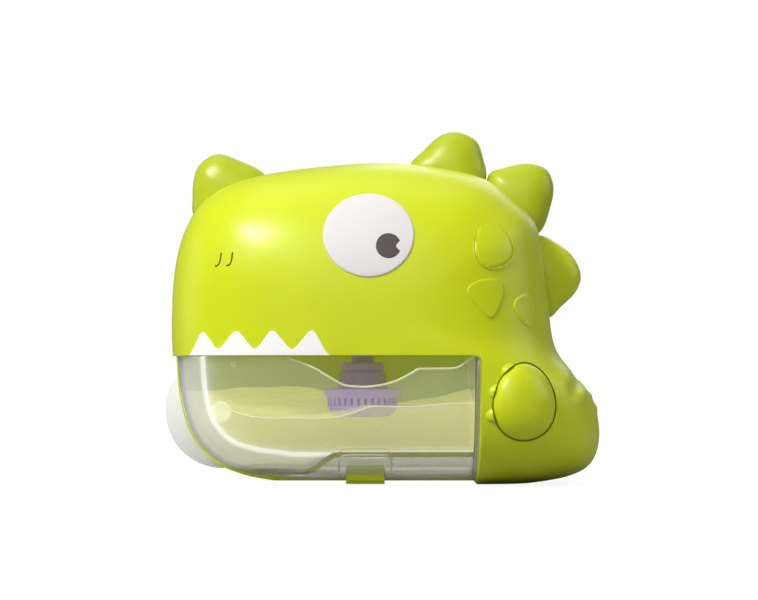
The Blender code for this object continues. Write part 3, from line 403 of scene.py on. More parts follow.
def front_half(name, inset, start_y=PARTING_Y, floor_z=None, sides=432, count=84):
    floor_z = max(inset, 0) if floor_z is None else floor_z
    rim = inset_outline(smooth_outline(BODY_OUTLINE, sides), inset)
    depth = FRONT_DEPTH - inset
    rings = [level_ring(rim, start_y)]
    rings += pillow_rings(rim, BODY_CENTRE, PARTING_Y, -depth, FULLNESS, even_angles(count))
    return loft(name, rings, (BODY_CENTRE.x, PARTING_Y - depth, BODY_CENTRE.y), floor_z)


def rear_half_rings(inset, start_y, sides=432, count=8):
    edge = BACK_EDGE - inset
    flat_y = BACK_Y - inset
    outline = smooth_outline(BODY_OUTLINE, sides)
    rings = [level_ring(inset_outline(outline, inset), start_y)]
    for k in range(count + 1):
        a = math.pi / 2 * k / count
        rim = inset_outline(outline, inset + edge * (1 - math.cos(a)))
        rings.append(level_ring(rim, flat_y - edge + edge * math.sin(a)))
    return rings


def whole_body(name, inset):
    """Both halves of the pillow as one solid, moved inwards by inset."""
    rim = inset_outline(smooth_outline(BODY_OUTLINE, 216), inset)
    depth = FRONT_DEPTH - inset
    rings = list(reversed(rear_half_rings(inset, PARTING_Y, 216)))
    rings += pillow_rings(rim, BODY_CENTRE, PARTING_Y, -depth, FULLNESS, even_angles(40))
    return loft(name, rings, (BODY_CENTRE.x, PARTING_Y - depth, BODY_CENTRE.y), max(inset, 0))


def rim_table():
    """Distance from the body's centre to its outline, by angle."""
    outline = smooth_outline(BODY_OUTLINE, 3000)
    ring = np.array([(p.x - BODY_CENTRE.x, p.y - BODY_CENTRE.y) for p in outline])
    angle = np.arctan2(ring[:, 1], ring[:, 0])
    order = np.argsort(angle)
    return angle[order], np.hypot(ring[:, 0], ring[:, 1])[order]


RIM_ANGLE, RIM_REACH = rim_table()


def face_y(x, z, inset=0.0):
    """Where the body's face is at (x, z), for numbers or arrays, in metres."""
    dx, dz = np.asarray(x) - BODY_CENTRE.x, np.asarray(z) - BODY_CENTRE.y
    reach = np.interp(np.arctan2(dz, dx), RIM_ANGLE, RIM_REACH, period=2 * math.pi) - 1.1 * inset
    size = np.minimum(np.hypot(dx, dz) / reach, 1.0)
    return PARTING_Y - (FRONT_DEPTH - inset) * (1 - size**FULLNESS) ** (1 / FULLNESS)


def face_normal(x, z):
    """The outward normal of the body's face, taken over a small span."""
    step = 1.2 * MM
    slope_x = (face_y(x + step, z) - face_y(x - step, z)) / (2 * step)
    slope_z = (face_y(x, z + step) - face_y(x, z - step)) / (2 * step)
    return Vector((float(slope_x), -1.0, float(slope_z))).normalized()


def face_point(x, z, lift=0.0):
    """A point lifted off the body's face along its normal."""
    return Vector((float(x), float(face_y(x, z)), float(z))) + face_normal(x, z) * lift


def patch(name, outline, height, edge=0.5 * MM, sink=1.0 * MM, spacing=1.4 * MM, dome=None):
    """A raised patch that follows the body's face, with a rounded edge and sunken sides."""
    count = len(outline)
    bands = (0.0, 0.06, 0.2, 0.42, 0.7, 1.0)
    points, lifts, edges = [], [], []
    for band in bands:
        base = len(points)
        inner = inset_outline(outline, band * edge)
        drop = edge - math.sqrt(max(edge**2 - (edge - band * edge) ** 2, 0))
        points += inner
        lifts += [height - drop] * count
        edges += [(base + i, base + (i + 1) % count) for i in range(count)]
    last = np.array([(p.x, p.y) for p in inset_outline(outline, edge * 1.4)])
    low, high = last.min(0), last.max(0)
    for gx in np.arange(low[0], high[0], spacing):
        for gz in np.arange(low[1], high[1], spacing):
            if inside(gx, gz, last):
                points.append(Vector((gx, gz)))
                lifts.append(height)
    verts, _, faces, origins, _, _ = delaunay_2d_cdt(points, edges, [list(range(count))], 1, 1e-7)
    work = bmesh.new()
    made, lifted = [], []
    for vert, source in zip(verts, origins):
        lift = lifts[source[0]] if source else height
        if dome is not None:
            lift += dome(vert.x, vert.y)
        made.append(work.verts.new(face_point(vert.x, vert.y, lift)))
        lifted.append(lift)
    for face in faces:
        try:
            work.faces.new([made[i] for i in face])
        except ValueError:
            continue
    loose = [v for v in work.verts if not v.link_faces]
    bmesh.ops.delete(work, geom=loose, context="VERTS")
    boundary = [e for e in work.edges if len(e.link_faces) == 1]
    extruded = bmesh.ops.extrude_edge_only(work, edges=boundary)
    for v in extruded["geom"]:
        if isinstance(v, bmesh.types.BMVert):
            v.co = face_point(v.co.x, v.co.z, -sink)
    bmesh.ops.recalc_face_normals(work, faces=work.faces)
    if sum(f.normal.y * f.calc_area() for f in work.faces) > 0:
        bmesh.ops.reverse_faces(work, faces=work.faces)
    return object_from(work, name)


def inside(x, z, polygon):
    px, pz = polygon[:, 0], polygon[:, 1]
    qx, qz = np.roll(px, -1), np.roll(pz, -1)
    crosses = (pz > z) != (qz > z)
    with np.errstate(divide="ignore", invalid="ignore"):
        at = (qx - px) * (z - pz) / (qz - pz) + px
    return bool(np.count_nonzero(crosses & (x < at)) % 2)


def corner_arc(right, top, radius):
    """Points round an outline's top right corner, from the side up."""
    turns = [math.radians(degrees) for degrees in range(0, 91, 10)]
    return [(right - radius * (1 - math.cos(a)), top - radius * (1 - math.sin(a))) for a in turns]


def mouth_opening(shrink=0.0):
    right, top = TANK_SIDE_X - shrink, MOUTH_Z - shrink
    left, bottom = -130 * MM, -10 * MM
    corner = reversed(corner_arc(right, top, MOUTH_CORNER))
    return [(left, bottom), (left, top), *corner, (right, bottom)]


# --- materials ---
class Nodes:
    """A short way to write node trees."""

    def __init__(self, name):
        self.material = bpy.data.materials.new(name)
        self.material.use_nodes = True
        self.tree = self.material.node_tree
        self.tree.nodes.clear()
        self.out = self.tree.nodes.new("ShaderNodeOutputMaterial")

    def add(self, kind, inputs=None, **settings):
        node = self.tree.nodes.new("ShaderNode" + kind)
        for key, value in settings.items():
            setattr(node, key, value)
        for key, value in (inputs or {}).items():
            if isinstance(value, bpy.types.NodeSocket):
                self.tree.links.new(value, node.inputs[key])
            else:
                node.inputs[key].default_value = value
        return node

    def noise(self, scale, detail=3.0, roughness=0.5):
        place = self.add("TexCoord").outputs["Object"]
        return self.add("TexNoise", {"Vector": place, "Scale": scale, "Detail": detail,
                                     "Roughness": roughness}).outputs["Fac"]

    def span(self, value, low, high, from_low=0.3, from_high=0.7):
        return self.add("MapRange", {"Value": value, "From Min": from_low, "From Max": from_high,
                                     "To Min": low, "To Max": high}).outputs["Result"]

    def tint(self, value, dark, light):
        mix = self.add("Mix", data_type="RGBA")
        self.tree.links.new(value, mix.inputs["Factor"])
        mix.inputs["A"].default_value = (*dark, 1)
        mix.inputs["B"].default_value = (*light, 1)
        return mix.outputs["Result"]

    def maths(self, operation, first, second):
        return self.add("Math", {0: first, 1: second}, operation=operation).outputs["Value"]

    def mixed(self, weight, first, second):
        mix = self.add("MixShader", {"Fac": weight})
        self.tree.links.new(first.outputs[0], mix.inputs[1])
        self.tree.links.new(second.outputs[0], mix.inputs[2])
        return mix

    def finish(self, shader):
        self.tree.links.new(shader.outputs[0], self.out.inputs["Surface"])
        return self.material


def shade(colour, factor):
    return tuple(min(c * factor, 1.0) for c in colour)


def moulded(name, colour, roughness=0.3, coat=0.0, glow=0.0, edge=0.3, grain=0.02, variation=0.04,
            lift=0.0):
    """Moulded plastic: faint flow variation, a fine skin texture, softened edges, and a painted glow on
    the front faces where lift is set.
    """
    n = Nodes(name)
    fine = n.noise(2600.0, 2.0)
    flow = n.span(n.noise(18.0, 2.0), 0, 1)
    base = n.tint(flow, shade(colour, 1 - variation), shade(colour, 1 + variation))
    rough = n.span(n.noise(120.0, 4.0), roughness * 0.9, roughness * 1.12)
    bump_inputs = {"Height": fine, "Strength": grain, "Distance": 0.0002}
    if edge:
        bump_inputs["Normal"] = n.add("Bevel", {"Radius": edge * MM}, samples=6).outputs["Normal"]
    bump = n.add("Bump", bump_inputs)
    surface = n.add("BsdfPrincipled", {"Base Color": base, "Roughness": rough, "IOR": 1.5,
                                       "Normal": bump.outputs["Normal"], "Coat Weight": coat,
                                       "Coat Roughness": 0.12})
    # lift is a painted glow: emission on the front faces that brightens the plastic as if more light fell
    # on it.
    if lift:
        outer = n.maths("SUBTRACT", 1.0, n.add("NewGeometry").outputs["Backfacing"])
        n.tree.links.new(n.maths("MULTIPLY", outer, lift), surface.inputs["Emission Strength"])
        surface.inputs["Emission Color"].default_value = (*colour, 1)
    if glow:
        surface.inputs["Subsurface Weight"].default_value = glow
        surface.inputs["Subsurface Radius"].default_value = (1.0, 1.0, 0.25)
        surface.inputs["Subsurface Scale"].default_value = 0.003
    return n.finish(surface)


def metal(name, colour, roughness=0.3, scratch=400.0):
    n = Nodes(name)
    streaks = n.noise(scratch, 6.0, 0.7)
    rough = n.span(streaks, roughness * 0.75, roughness * 1.35)
    base = n.tint(n.span(streaks, 0, 1), shade(colour, 0.86), shade(colour, 1.08))
    bump = n.add("Bump", {"Height": streaks, "Strength": 0.05, "Distance": 0.0002})
    surface = n.add("BsdfPrincipled", {"Base Color": base, "Roughness": rough, "Metallic": 1.0,
                                       "Normal": bump.outputs["Normal"]})
    return n.finish(surface)


def clear_plastic():
    """Polished styrene: bends light a little, holds a breath of haze with a faint painted glow, and greys
    towards its skirt as painted shade.
    """
    n = Nodes("clear_plastic")
    rough = n.span(n.noise(60.0, 3.0), 0.006, 0.02)
    glass = n.add("BsdfRefraction", {"Color": (0.99, 0.992, 0.985, 1), "Roughness": rough, "IOR": 1.12})
    gloss = n.add("BsdfGlossy", {"Color": (1, 1, 1, 1), "Roughness": 0.05})
    through = n.add("BsdfTransparent", {"Color": (0.975, 0.98, 0.97, 1)})
    height = n.add("SeparateXYZ", {"Vector": n.add("TexCoord").outputs["Object"]}).outputs["Z"]
    # The skirt's grey is painted shade for the shadow seen through the clear skirt.
    skirt = n.span(height, 0, 1, 8.0 * MM, 6.4 * MM)
    tone = n.tint(skirt, (0.80, 0.81, 0.70), (0.36, 0.37, 0.34))
    # The haze's emission is a painted glow.
    milk = n.add("BsdfPrincipled", {"Base Color": tone, "Roughness": 0.6, "Emission Color": tone,
                                    "Emission Strength": 0.16})
    cloud = n.span(n.noise(25.0, 3.0), 0.045, 0.065)
    grazing = n.add("LayerWeight", {"Blend": 0.18}).outputs["Facing"]
    veil = n.maths("MAXIMUM", cloud, n.maths("MULTIPLY", grazing, 0.85))
    veil = n.maths("MAXIMUM", veil, n.maths("MULTIPLY", skirt, 0.38))
    shine = n.add("Fresnel", {"IOR": 1.42}).outputs["Fac"]
    seen = n.mixed(n.maths("MULTIPLY", shine, 0.75), n.mixed(veil, glass, milk), gloss)
    path = n.add("LightPath")
    lighting = n.maths("MAXIMUM", path.outputs["Is Shadow Ray"], path.outputs["Is Diffuse Ray"])
    return n.finish(n.mixed(lighting, seen, through))


def cloudy(name, colour, low, high, blend=0.3, roughness=0.3, tint=(0.97, 0.98, 0.95), back=0.0,
           lift=0.0):
    """A soft translucent stuff, cloudier at a grazing angle and, if asked, on its far side, with lift as
    a painted glow.
    """
    n = Nodes(name)
    cloud = n.span(n.noise(60.0, 4.0), low, high)
    bump = n.add("Bump", {"Height": n.noise(1200.0, 2.0), "Strength": 0.03, "Distance": 0.0002})
    milk = n.add("BsdfPrincipled", {"Base Color": (*colour, 1), "Roughness": roughness,
                                    "Normal": bump.outputs["Normal"], "Emission Color": (*colour, 1),
                                    "Emission Strength": lift})
    through = n.add("BsdfTransparent", {"Color": (*tint, 1)})
    grazing = n.add("LayerWeight", {"Blend": blend}).outputs["Facing"]
    weight = n.maths("MAXIMUM", cloud, grazing)
    if back:
        far = n.maths("MULTIPLY", n.add("NewGeometry").outputs["Backfacing"], back)
        weight = n.maths("MAXIMUM", weight, far)
    return n.finish(n.mixed(weight, through, milk))


GREEN = (0.62, 0.71, 0.004)
MATERIALS = {
    "green_plastic": moulded("green_plastic", GREEN, 0.34, glow=0.06, edge=0.35),
    "green_soft": moulded("green_soft", GREEN, 0.34, glow=0.06, edge=0.0),
    # A darker copy of the body green, painted shade for spikes that get less light.
    "green_spike_painted_shade": moulded("green_spike_painted_shade", (0.45, 0.53, 0.004), 0.36, glow=0.06, edge=0.3),
    # The bay's green carries a painted glow (emission) that brightens it behind the tank.
    "green_bay_painted_glow": moulded("green_bay_painted_glow", (0.64, 0.71, 0.04), 0.4, edge=0.0, lift=0.2),
    # A darker green, painted shade for the nostril grooves' walls.
    "groove": moulded("groove", (0.30, 0.36, 0.006), 0.6, edge=0.0),
    "clear_plastic": clear_plastic(),
    # A pale milky copy of the clear plastic, a painted highlight for the spout's bright edge.
    "clear_edge_painted_highlight": cloudy("clear_edge_painted_highlight", (0.90, 0.94, 0.62), 0.55, 0.7, 0.5, 0.2),
    "clear_rib": cloudy("clear_rib", (0.80, 0.82, 0.76), 0.3, 0.45, 0.5, 0.2),
    # Both purples carry a faint painted glow; the basket's lighter purple copy is painted light.
    "purple_plastic": moulded("purple_plastic", (0.40, 0.31, 0.56), 0.4, glow=0.05, edge=0.2, lift=0.05),
    "purple_cup_painted_light": moulded("purple_cup_painted_light", (0.50, 0.36, 0.86), 0.4, glow=0.05, edge=0.2, lift=0.09),
    "purple_shade": moulded("purple_shade", (0.07, 0.05, 0.10), 0.5, edge=0.0),
    # The white carries a faint painted glow.
    "white_plastic": moulded("white_plastic", (0.93, 0.92, 0.90), 0.35, edge=0.15, variation=0.015,
                             lift=0.03),
    "eye_white": moulded("eye_white", (0.75, 0.73, 0.71), 0.4, edge=0.1, variation=0.015),
    "pupil_ink": moulded("pupil_ink", (0.07, 0.055, 0.058), 0.45, edge=0.1, variation=0.08),
    "clear_silicone": cloudy("clear_silicone", (0.92, 0.93, 0.90), 0.66, 0.78),
    "brass": metal("brass", (0.78, 0.56, 0.26), 0.3),
    "black_plastic": moulded("black_plastic", (0.028, 0.028, 0.03), 0.45, edge=0.2, grain=0.05),
    "steel": metal("steel", (0.62, 0.62, 0.64), 0.28),
    "armature": metal("armature", (0.55, 0.25, 0.12), 0.4, 900.0),
    "board": moulded("board", (0.015, 0.16, 0.06), 0.35, coat=0.3, edge=0.0, variation=0.15),
    "seal_rubber": moulded("seal_rubber", (0.045, 0.045, 0.045), 0.75, edge=0.15, grain=0.08),
    "wire_red": moulded("wire_red", (0.55, 0.02, 0.02), 0.4, edge=0.0),
    "wire_black": moulded("wire_black", (0.02, 0.02, 0.02), 0.4, edge=0.0),
    # A strong painted glow on the cups' plugs, a painted highlight seen through the clear bell.
    "plug_painted_glow": moulded("plug_painted_glow", (0.92, 0.92, 0.90), 0.4, edge=0.0, lift=1.4),
    # The solution's lift is a painted glow on its milky haze.
    "soap_water": cloudy("soap_water", (0.93, 0.92, 0.50), 0.24, 0.31, 0.18, 0.25, (0.985, 0.99, 0.93),
                         back=0.72, lift=0.17),
    "meniscus": cloudy("meniscus", (0.95, 0.95, 0.85), 0.5, 0.75, 0.3, 0.15),
}


def cell_sleeve():
    """A dry cell's printed sleeve: dark body with a band of copper at one end."""
    n = Nodes("cell_sleeve")
    place = n.add("TexCoord").outputs["Object"]
    height = n.add("SeparateXYZ", {"Vector": place}).outputs["Z"]
    grain = n.noise(300.0, 3.0)
    sleeve = n.tint(n.span(grain, 0, 1), (0.012, 0.02, 0.05), (0.02, 0.03, 0.07))
    band = n.add("Math", {0: height, 1: 0.118}, operation="GREATER_THAN").outputs["Value"]
    mix = n.add("Mix", data_type="RGBA")
    n.tree.links.new(band, mix.inputs["Factor"])
    n.tree.links.new(sleeve, mix.inputs["A"])
    mix.inputs["B"].default_value = (0.55, 0.23, 0.08, 1)
    return n.finish(n.add("BsdfPrincipled", {"Base Color": mix.outputs["Result"], "Roughness": 0.28,
                                             "Metallic": 0.5, "Coat Weight": 0.5}))


MATERIALS["cell_sleeve"] = cell_sleeve()


def place(obj, body, slot, material=None, stands_for=()):
    """Paints a piece, puts it on its body and hides the nodes it stands for."""
    obj.data.materials.clear()
    obj.data.materials.append(MATERIALS[material or slot])
    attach(obj, body)
    if stands_for:
        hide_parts(*stands_for)
    return obj


def repaint(obj, material, chosen):
    """Gives the faces that pass a test a second material."""
    obj.data.materials.append(MATERIALS[material])
    for polygon in obj.data.polygons:
        if chosen(polygon.center, polygon.normal):
            polygon.material_index = 1


# --- shells ---
def nostril(shift):
    """A J-shaped groove cutter, deeper than it is wide."""
    path = smooth_path(((-68.5, 101.7), (-68.7, 99.5), (-69.1, 97.6), (-69.8, 96.4), (-70.6, 96.0),
                        (-71.2, 96.1)))
    spots = [((x + shift) * MM, z * MM) for x, z in path]
    points = [face_point(x, z) for x, z in spots]
    rings = []
    for i, point in enumerate(points):
        along = (points[min(i + 1, len(points) - 1)] - points[max(i - 1, 0)]).normalized()
        normal = face_normal(*spots[i])
        side = along.cross(normal).normalized()
        ring = []
        for k in range(14):
            a = 2 * math.pi * k / 14
            ring.append(point + side * (0.36 * MM * math.cos(a)) + normal * (1.1 * MM * math.sin(a)))
        rings.append(ring)
    return loft("nostril", rings)


def smooth_path(corners, steps=8):
    """An open smooth curve through corners, in mm."""
    knots = [Vector(c) for c in corners]
    points = []
    for i in range(len(knots) - 1):
        p0, p1 = knots[max(i - 1, 0)], knots[i]
        p2, p3 = knots[i + 1], knots[min(i + 2, len(knots) - 1)]
        points += interpolate_bezier(p1, p1 + (p2 - p0) / 6, p2 - (p3 - p1) / 6, p2, steps)[:-1]
    return points + [knots[-1]]


def press_relief(shell):
    """Soft bumps and a dent across the tail, pressed along the skin's normals."""
    for vertex in shell.data.vertices:
        x, y, z = vertex.co / MM
        if x < 70 or y > 26:
            continue
        lift = sum(height * math.exp(-((x - at[0]) ** 2 + (z - at[1]) ** 2) / (2 * width**2))
                   for at, width, height in TAIL_RELIEF)
        vertex.co += vertex.normal * lift * MM


def front_shell():
    shell = front_half("front_shell_skin", 0)
    press_relief(shell)
    cut(shell, front_half("hollow", WALL, PARTING_Y + 2 * MM, None, 216, 30))
    cut(shell, plate("mouth", mouth_opening(), FACE_Y - 10 * MM, PARTING_Y + 5 * MM))
    cut(shell, gather("cuts", button_hole(), nostril(0), nostril(5.1)))
    return smooth(shell)


def button_hole():
    return plate("button_hole", egg(0.5 * MM), FACE_Y - 10 * MM, -22 * MM)


def in_nostril(spot, _):
    """True on the nostrils' walls, which lie in their own shade."""
    x, y, z = spot
    if not (-73 * MM < x < -60 * MM and 92 * MM < z < 106 * MM):
        return False
    return 0.08 * MM < y - face_y(x, z) < 1.6 * MM


def toes():
    bumps = []
    for x, z in TOES:
        at = face_point(x * MM, z * MM, -1.7 * MM)
        bumps.append(ball("toe", 4.1 * MM, at, (1.15, 1, 0.9)))
    room = front_half("toe_room", WALL - 0.4 * MM, PARTING_Y + 2 * MM, None, 216, 30)
    return smooth(cut(gather("toe_bumps", *bumps), button_hole(), room))


def scale_fade(x, z):
    """The top scale sinks into the skin towards its upper end."""
    return -0.62 * MM * min(max((z / MM - 103) / 9, 0), 1)


def scales():
    raised = []
    for k, corners in enumerate(SCALES):
        fade = scale_fade if k == 0 else None
        outline = smooth_outline(corners, 90)
        raised.append(patch(f"scale_{k}", outline, 0.62 * MM, 0.5 * MM, 0.6 * MM, 1.1 * MM, fade))
    return smooth(gather("neck_scales", *raised), 60)


def rear_shell():
    shell = loft("rear_shell_skin", rear_half_rings(0, PARTING_Y + GAP / 3), None, 0)
    cut(shell, loft("rear_hollow", rear_half_rings(WALL, PARTING_Y - 2 * MM, 216, 4), None, WALL))
    cuts = [screw_bore(centre_of(node)) for node in REAR_SCREWS]
    for cup in CUPS.values():
        cuts.append(cylinder("cup_hole", 3.5 * MM, (cup.x, 30 * MM, cup.z), (cup.x, 50 * MM, cup.z)))
    low, high = Vector(DOOR_LOW) / MM, Vector(DOOR_HIGH) / MM
    cuts.append(box("door_opening", (low.x - 0.35, 30, low.z - 0.35), (high.x + 0.35, 50, high.z + 0.35)))
    cuts.append(box("latch_notch", (-12.4, 20, -1), (-0.6, 31.4, 5)))
    cut(shell, gather("rear_cuts", *cuts))
    return smooth(shell)


def screw_bore(at):
    return cylinder("bore", 3.1 * MM, (at.x, 33.2 * MM, at.z), (at.x, 50 * MM, at.z))


def spike(name):
    outline = smooth_outline(SPIKES[name], 144)
    middle = sum(outline, Vector((0, 0))) / len(outline)
    angles = [math.radians(a) for a in np.linspace(0, 84, 22)]
    rear = pillow_rings(outline, middle, PARTING_Y, SPIKE_DEPTH * 0.9, 2.2, angles)
    front = pillow_rings(outline, middle, PARTING_Y, -SPIKE_DEPTH, 2.2, angles[1:])
    made = loft(name + "_skin", list(reversed(rear)) + front)
    cut(made, whole_body("body_clearance", -0.36 * MM))
    return smooth(made, 50)


def teeth_outline():
    steps = 10
    points = []
    for (x0, z0), (x1, z1) in zip(TEETH, TEETH[1:]):
        for i in range(steps):
            share = i / steps
            rise = (1 - math.cos(math.pi * share)) / 2
            bulge = 0.75 * share + 0.25 * rise
            points.append(Vector((x0 + (x1 - x0) * bulge, z0 + (z1 - z0) * rise)) * MM)
    points.append(Vector(TEETH[-1]) * MM)
    right, left = points[-1], points[0]
    base = [right.lerp(left, i / 30) for i in range(1, 30)]
    return points + base


def ellipse(centre, half):
    turns = [-2 * math.pi * i / 128 for i in range(128)]
    return [Vector((centre.x + half.x * math.cos(a), centre.y + half.y * math.sin(a))) for a in turns]


def pupil_outline():
    """A disc with a rounded bite on its cheek side."""
    r = PUPIL_RADIUS
    points = []
    for i in range(73):
        a = -math.radians(23 + (360 - 46) * i / 72)
        points.append(PUPIL_CENTRE + r * Vector((math.cos(a), math.sin(a))))
    first, last = points[0], points[-1]
    notch = PUPIL_CENTRE + Vector((0.38 * r, 0))
    bite = interpolate_bezier(last, last.lerp(notch, 0.75), first.lerp(notch, 0.75), first, 14)
    return points + [Vector((p.x, p.y)) for p in bite[1:-1]]


def eye_dome(x, z):
    r2 = ((x - EYE_CENTRE.x) / EYE_HALF.x) ** 2 + ((z - EYE_CENTRE.y) / EYE_HALF.y) ** 2
    return 0.25 * MM * (1 - min(r2, 1.0))


def button_rise(size):
    return (-0.4 + 6.2 * (1 - size**2.6) ** 0.556) * MM


def foot_button():
    rings = [level_ring(egg(1.4 * MM), -20 * MM)]
    seat = WALL + 4 * GAP
    for outline in (egg(1.4 * MM), egg()):
        rings.append([(p.x, float(face_y(p.x, p.y, seat)), p.y) for p in outline])
    for k in range(45):
        size = math.cos(math.radians(88) * (k / 44) ** 0.9)
        ring = []
        for p in egg(0, size):
            ring.append((p.x, float(face_y(p.x, p.y)) - button_rise(size), p.y))
        rings.append(ring)
    tip = (BUTTON_CENTRE.x, float(face_y(*BUTTON_CENTRE)) - button_rise(0.0), BUTTON_CENTRE.y)
    made = loft("foot_button_dome", rings, tip)
    cut(made, plate("button_hollow", egg(-2.4 * MM), -33 * MM, -15 * MM))
    return smooth(made, 40)


# --- tank ---
def tank_volume(name, inset, floor_z, back_y):
    volume = front_half(name, TANK_INSET + inset, PARTING_Y + 8 * MM, floor_z, 320, 56)
    right = TANK_SIDE_X - 0.6 * MM - inset
    corner = corner_arc(right, back_y, 6 * MM - inset)
    profile = [(-130 * MM, -80 * MM), (right, -80 * MM), *corner, (-130 * MM, back_y)]
    return keep_inside(volume, plate(name + "_block", profile, -200 * MM, 200 * MM, "Z"))


def above_step(name, low_z, high_z, shift=0.0):
    """All the room above a floor that rises to a step in an S curve."""
    start, end = -34 * MM + shift, -18 * MM + shift
    points = [(-120 * MM, 90 * MM), (-120 * MM, low_z)]
    for i in range(25):
        share = i / 24
        rise = (1 - math.cos(math.pi * share)) / 2
        points.append((start + (end - start) * share, low_z + (high_z - low_z) * rise))
    points += [(60 * MM, high_z), (60 * MM, 90 * MM)]
    return plate(name, points, -90 * MM, 90 * MM)


DIP = (
    (-39.5, 56.8), (-29.1, 52.7), (-23.4, 49.4), (-18.3, 46.4), (-14.9, 44.9), (-10.8, 44.4),
    (-6.8, 44.2), (-2.1, 44.6), (3, 45.5), (8.3, 47.4), (12.5, 49.6), (16.4, 51.9),
)


def dip_outline():
    """The low spout in the tank's front wall."""
    arc = [Vector(p) for p in smooth_path(DIP, 6)]
    shelf = [Vector(p) for p in rounded(((17.5, 52), (33.1, 52), (38.9, 56.8)), 3.0, 5)]
    points = [Vector((-46, 60))] + arc + shelf[1:] + [Vector((43, 60))]
    return [p * MM for p in points]


def tank():
    made = tank_volume("tank_clear", 0, 0, TANK_BACK_Y)
    keep_inside(made, plate("mouth_limit", mouth_opening(0.3 * MM), -100 * MM, 100 * MM))
    cavity = tank_volume("cavity", TANK_WALL, 2.2 * MM, TANK_BACK_Y - TANK_WALL)
    keep_inside(cavity, above_step("cavity_floor", TANK_FLOOR_Z, TANK_STEP_Z))
    cut(made, cavity)
    hollow = tank_volume("under_hollow", TANK_WALL, -3 * MM, TANK_BACK_Y - TANK_WALL)
    cut(hollow, above_step("hollow_roof", TANK_FLOOR_Z - TANK_WALL, TANK_STEP_Z - TANK_WALL, 1 * MM))
    join(hollow, box("drop_out", (-72, -6, -2), (40, 22, 4)))
    cut(made, hollow)
    cut(made, plate("dip", dip_outline(), -80 * MM, 0))
    for x0, x1 in ((-18.6, -16.4), (3.4, 5.6)):
        join(made, box("latch_rib", (x0, 3, 2.6), (x1, 13, 14.6)))
    latch = centre_of("latch_pin")
    pin = Vector((14 * MM, 0, 0))
    mid = latch.x / MM
    low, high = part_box("tank_latch")
    half = (high[0] - low[0]) / MM / 2 + 0.6
    cut(made, cylinder("pin_bore", 1.4 * MM, latch - pin, latch + pin, 24))
    cut(made, box("tab_notch", (mid - half, -40, -2), (mid + half, 6, 4.8)))
    cut(made, box("finger_notch", (mid - 4.6, 20, -2), (mid + 4.6, 40, 9)))
    return smooth(made, 28)


def spout_lip():
    """The rounded bead along the front wall's top, which catches the light; its pale milky finish is a
    painted highlight.
    """
    points = []
    for p in dip_outline()[1:-1]:
        y = float(face_y(p.x, p.y, TANK_INSET + TANK_WALL / 2))
        points.append((p.x, y, p.y - 0.1 * MM))
    return smooth(wire("spout_lip", points, 0.5 * MM), 60)


def latch_rim():
    """A low rib round the latch's window in the front wall."""
    corners = ((-18, 6.6), (-17.8, 11), (-16.6, 13.6), (-14, 14.4),
               (1, 14.4), (3.6, 13.6), (4.8, 11), (5, 6.6))
    points = []
    for x, z in smooth_path(corners):
        points.append((x * MM, float(face_y(x * MM, z * MM, TANK_INSET)) + 0.1 * MM, z * MM))
    return smooth(wire("latch_rim", points, 0.45 * MM), 60)


def moulding_marks():
    """Two round marks left in the rear wall by the mould."""
    back = TANK_BACK_Y - TANK_WALL - 0.25 * MM
    large = ball("mark_large", 1.5 * MM, (-67.7 * MM, back, 53.6 * MM), (1, 0.3, 1), 24, 12)
    small = ball("mark_small", 0.6 * MM, (-56 * MM, back, 18 * MM), (1, 0.4, 1), 16, 8)
    return smooth(gather("moulding_marks", large, small), 60)


def waterline():
    """The curved edge where the solution climbs the front wall."""
    points = []
    for x in np.linspace(-80, 38, 90):
        z = wave_height(x, -38) * MM
        y = float(face_y(x * MM, z, TANK_INSET + TANK_WALL)) + 0.25 * MM
        points.append((x * MM, y, wave_height(x, y / MM) * MM + 0.05 * MM))
    return smooth(wire("waterline", points, 0.28 * MM), 60)


# --- frother ---
def boxes_around(name, low, high, count, offset, bevel=0.0):
    """Boxes set evenly round the frother's axis, the first one offset by a share of a step."""
    made = []
    for i in range(count):
        one = box(name, low, high, bevel)
        turn = Matrix.Rotation(math.radians((i + offset) * 360 / count), 4, "Z")
        one.data.transform(Matrix.Translation((FROTH_X, FROTH_Y, 0)) @ turn)
        made.append(one)
    return made


def frother_basket():
    profile = [(0, 32.2), (10.8, 32.2), (13.4, 33.9), (14.1, 35.2), (14.1, 39.2), (15.4, 41.4),
               (11.5, 41.4), (11.5, 42.9), (17.5, 42.9), (17.5, 42.2), (16.1, 39.5), (15.6, 39.2),
               (15.6, 34.9), (14.6, 32.7), (11.8, 30.8), (0, 30.8)]
    basket = turned("frother_basket_cup", profile, (FROTH_X, FROTH_Y, 0), steps=192, radius=0.35)
    ways = boxes_around("lug_way", (10, -2.5, 40.5), (14.3, 2.5, 44), 3, 0.5)
    slots = boxes_around("slot", (13, -0.62, 35.6), (17, 0.62, 38.8), 32, 0.5, 0.2)
    cut(basket, gather("basket_cuts", *ways, *slots))
    return smooth(basket, 40)


def in_basket(spot, normal):
    """True on the basket's inner wall, which lies in shade behind its slots."""
    outward = Vector((spot.x - FROTH_X, spot.y - FROTH_Y)).normalized()
    return outward.dot(normal.xy) < -0.3


def frother_neck():
    profile = [(3.6, 66), (4.9, 66), (4.9, 54.6), (8.9, 54.5), (9.5, 53.9), (9.8, 51.3), (9.2, 51),
               (9.2, 50.5), (10, 50.2), (11.1, 43.6), (11.1, 39.2), (9.4, 39.2), (9.4, 44.6), (3.6, 46)]
    neck = turned("frother_neck_body", profile, (FROTH_X, FROTH_Y, 0), steps=144, radius=0.3)
    lugs = boxes_around("lug", (10.3, -2, 39.3), (13.8, 2, 40.9), 3, 0.25, 0.3)
    return smooth(gather("frother_neck_body", neck, *lugs), 40)


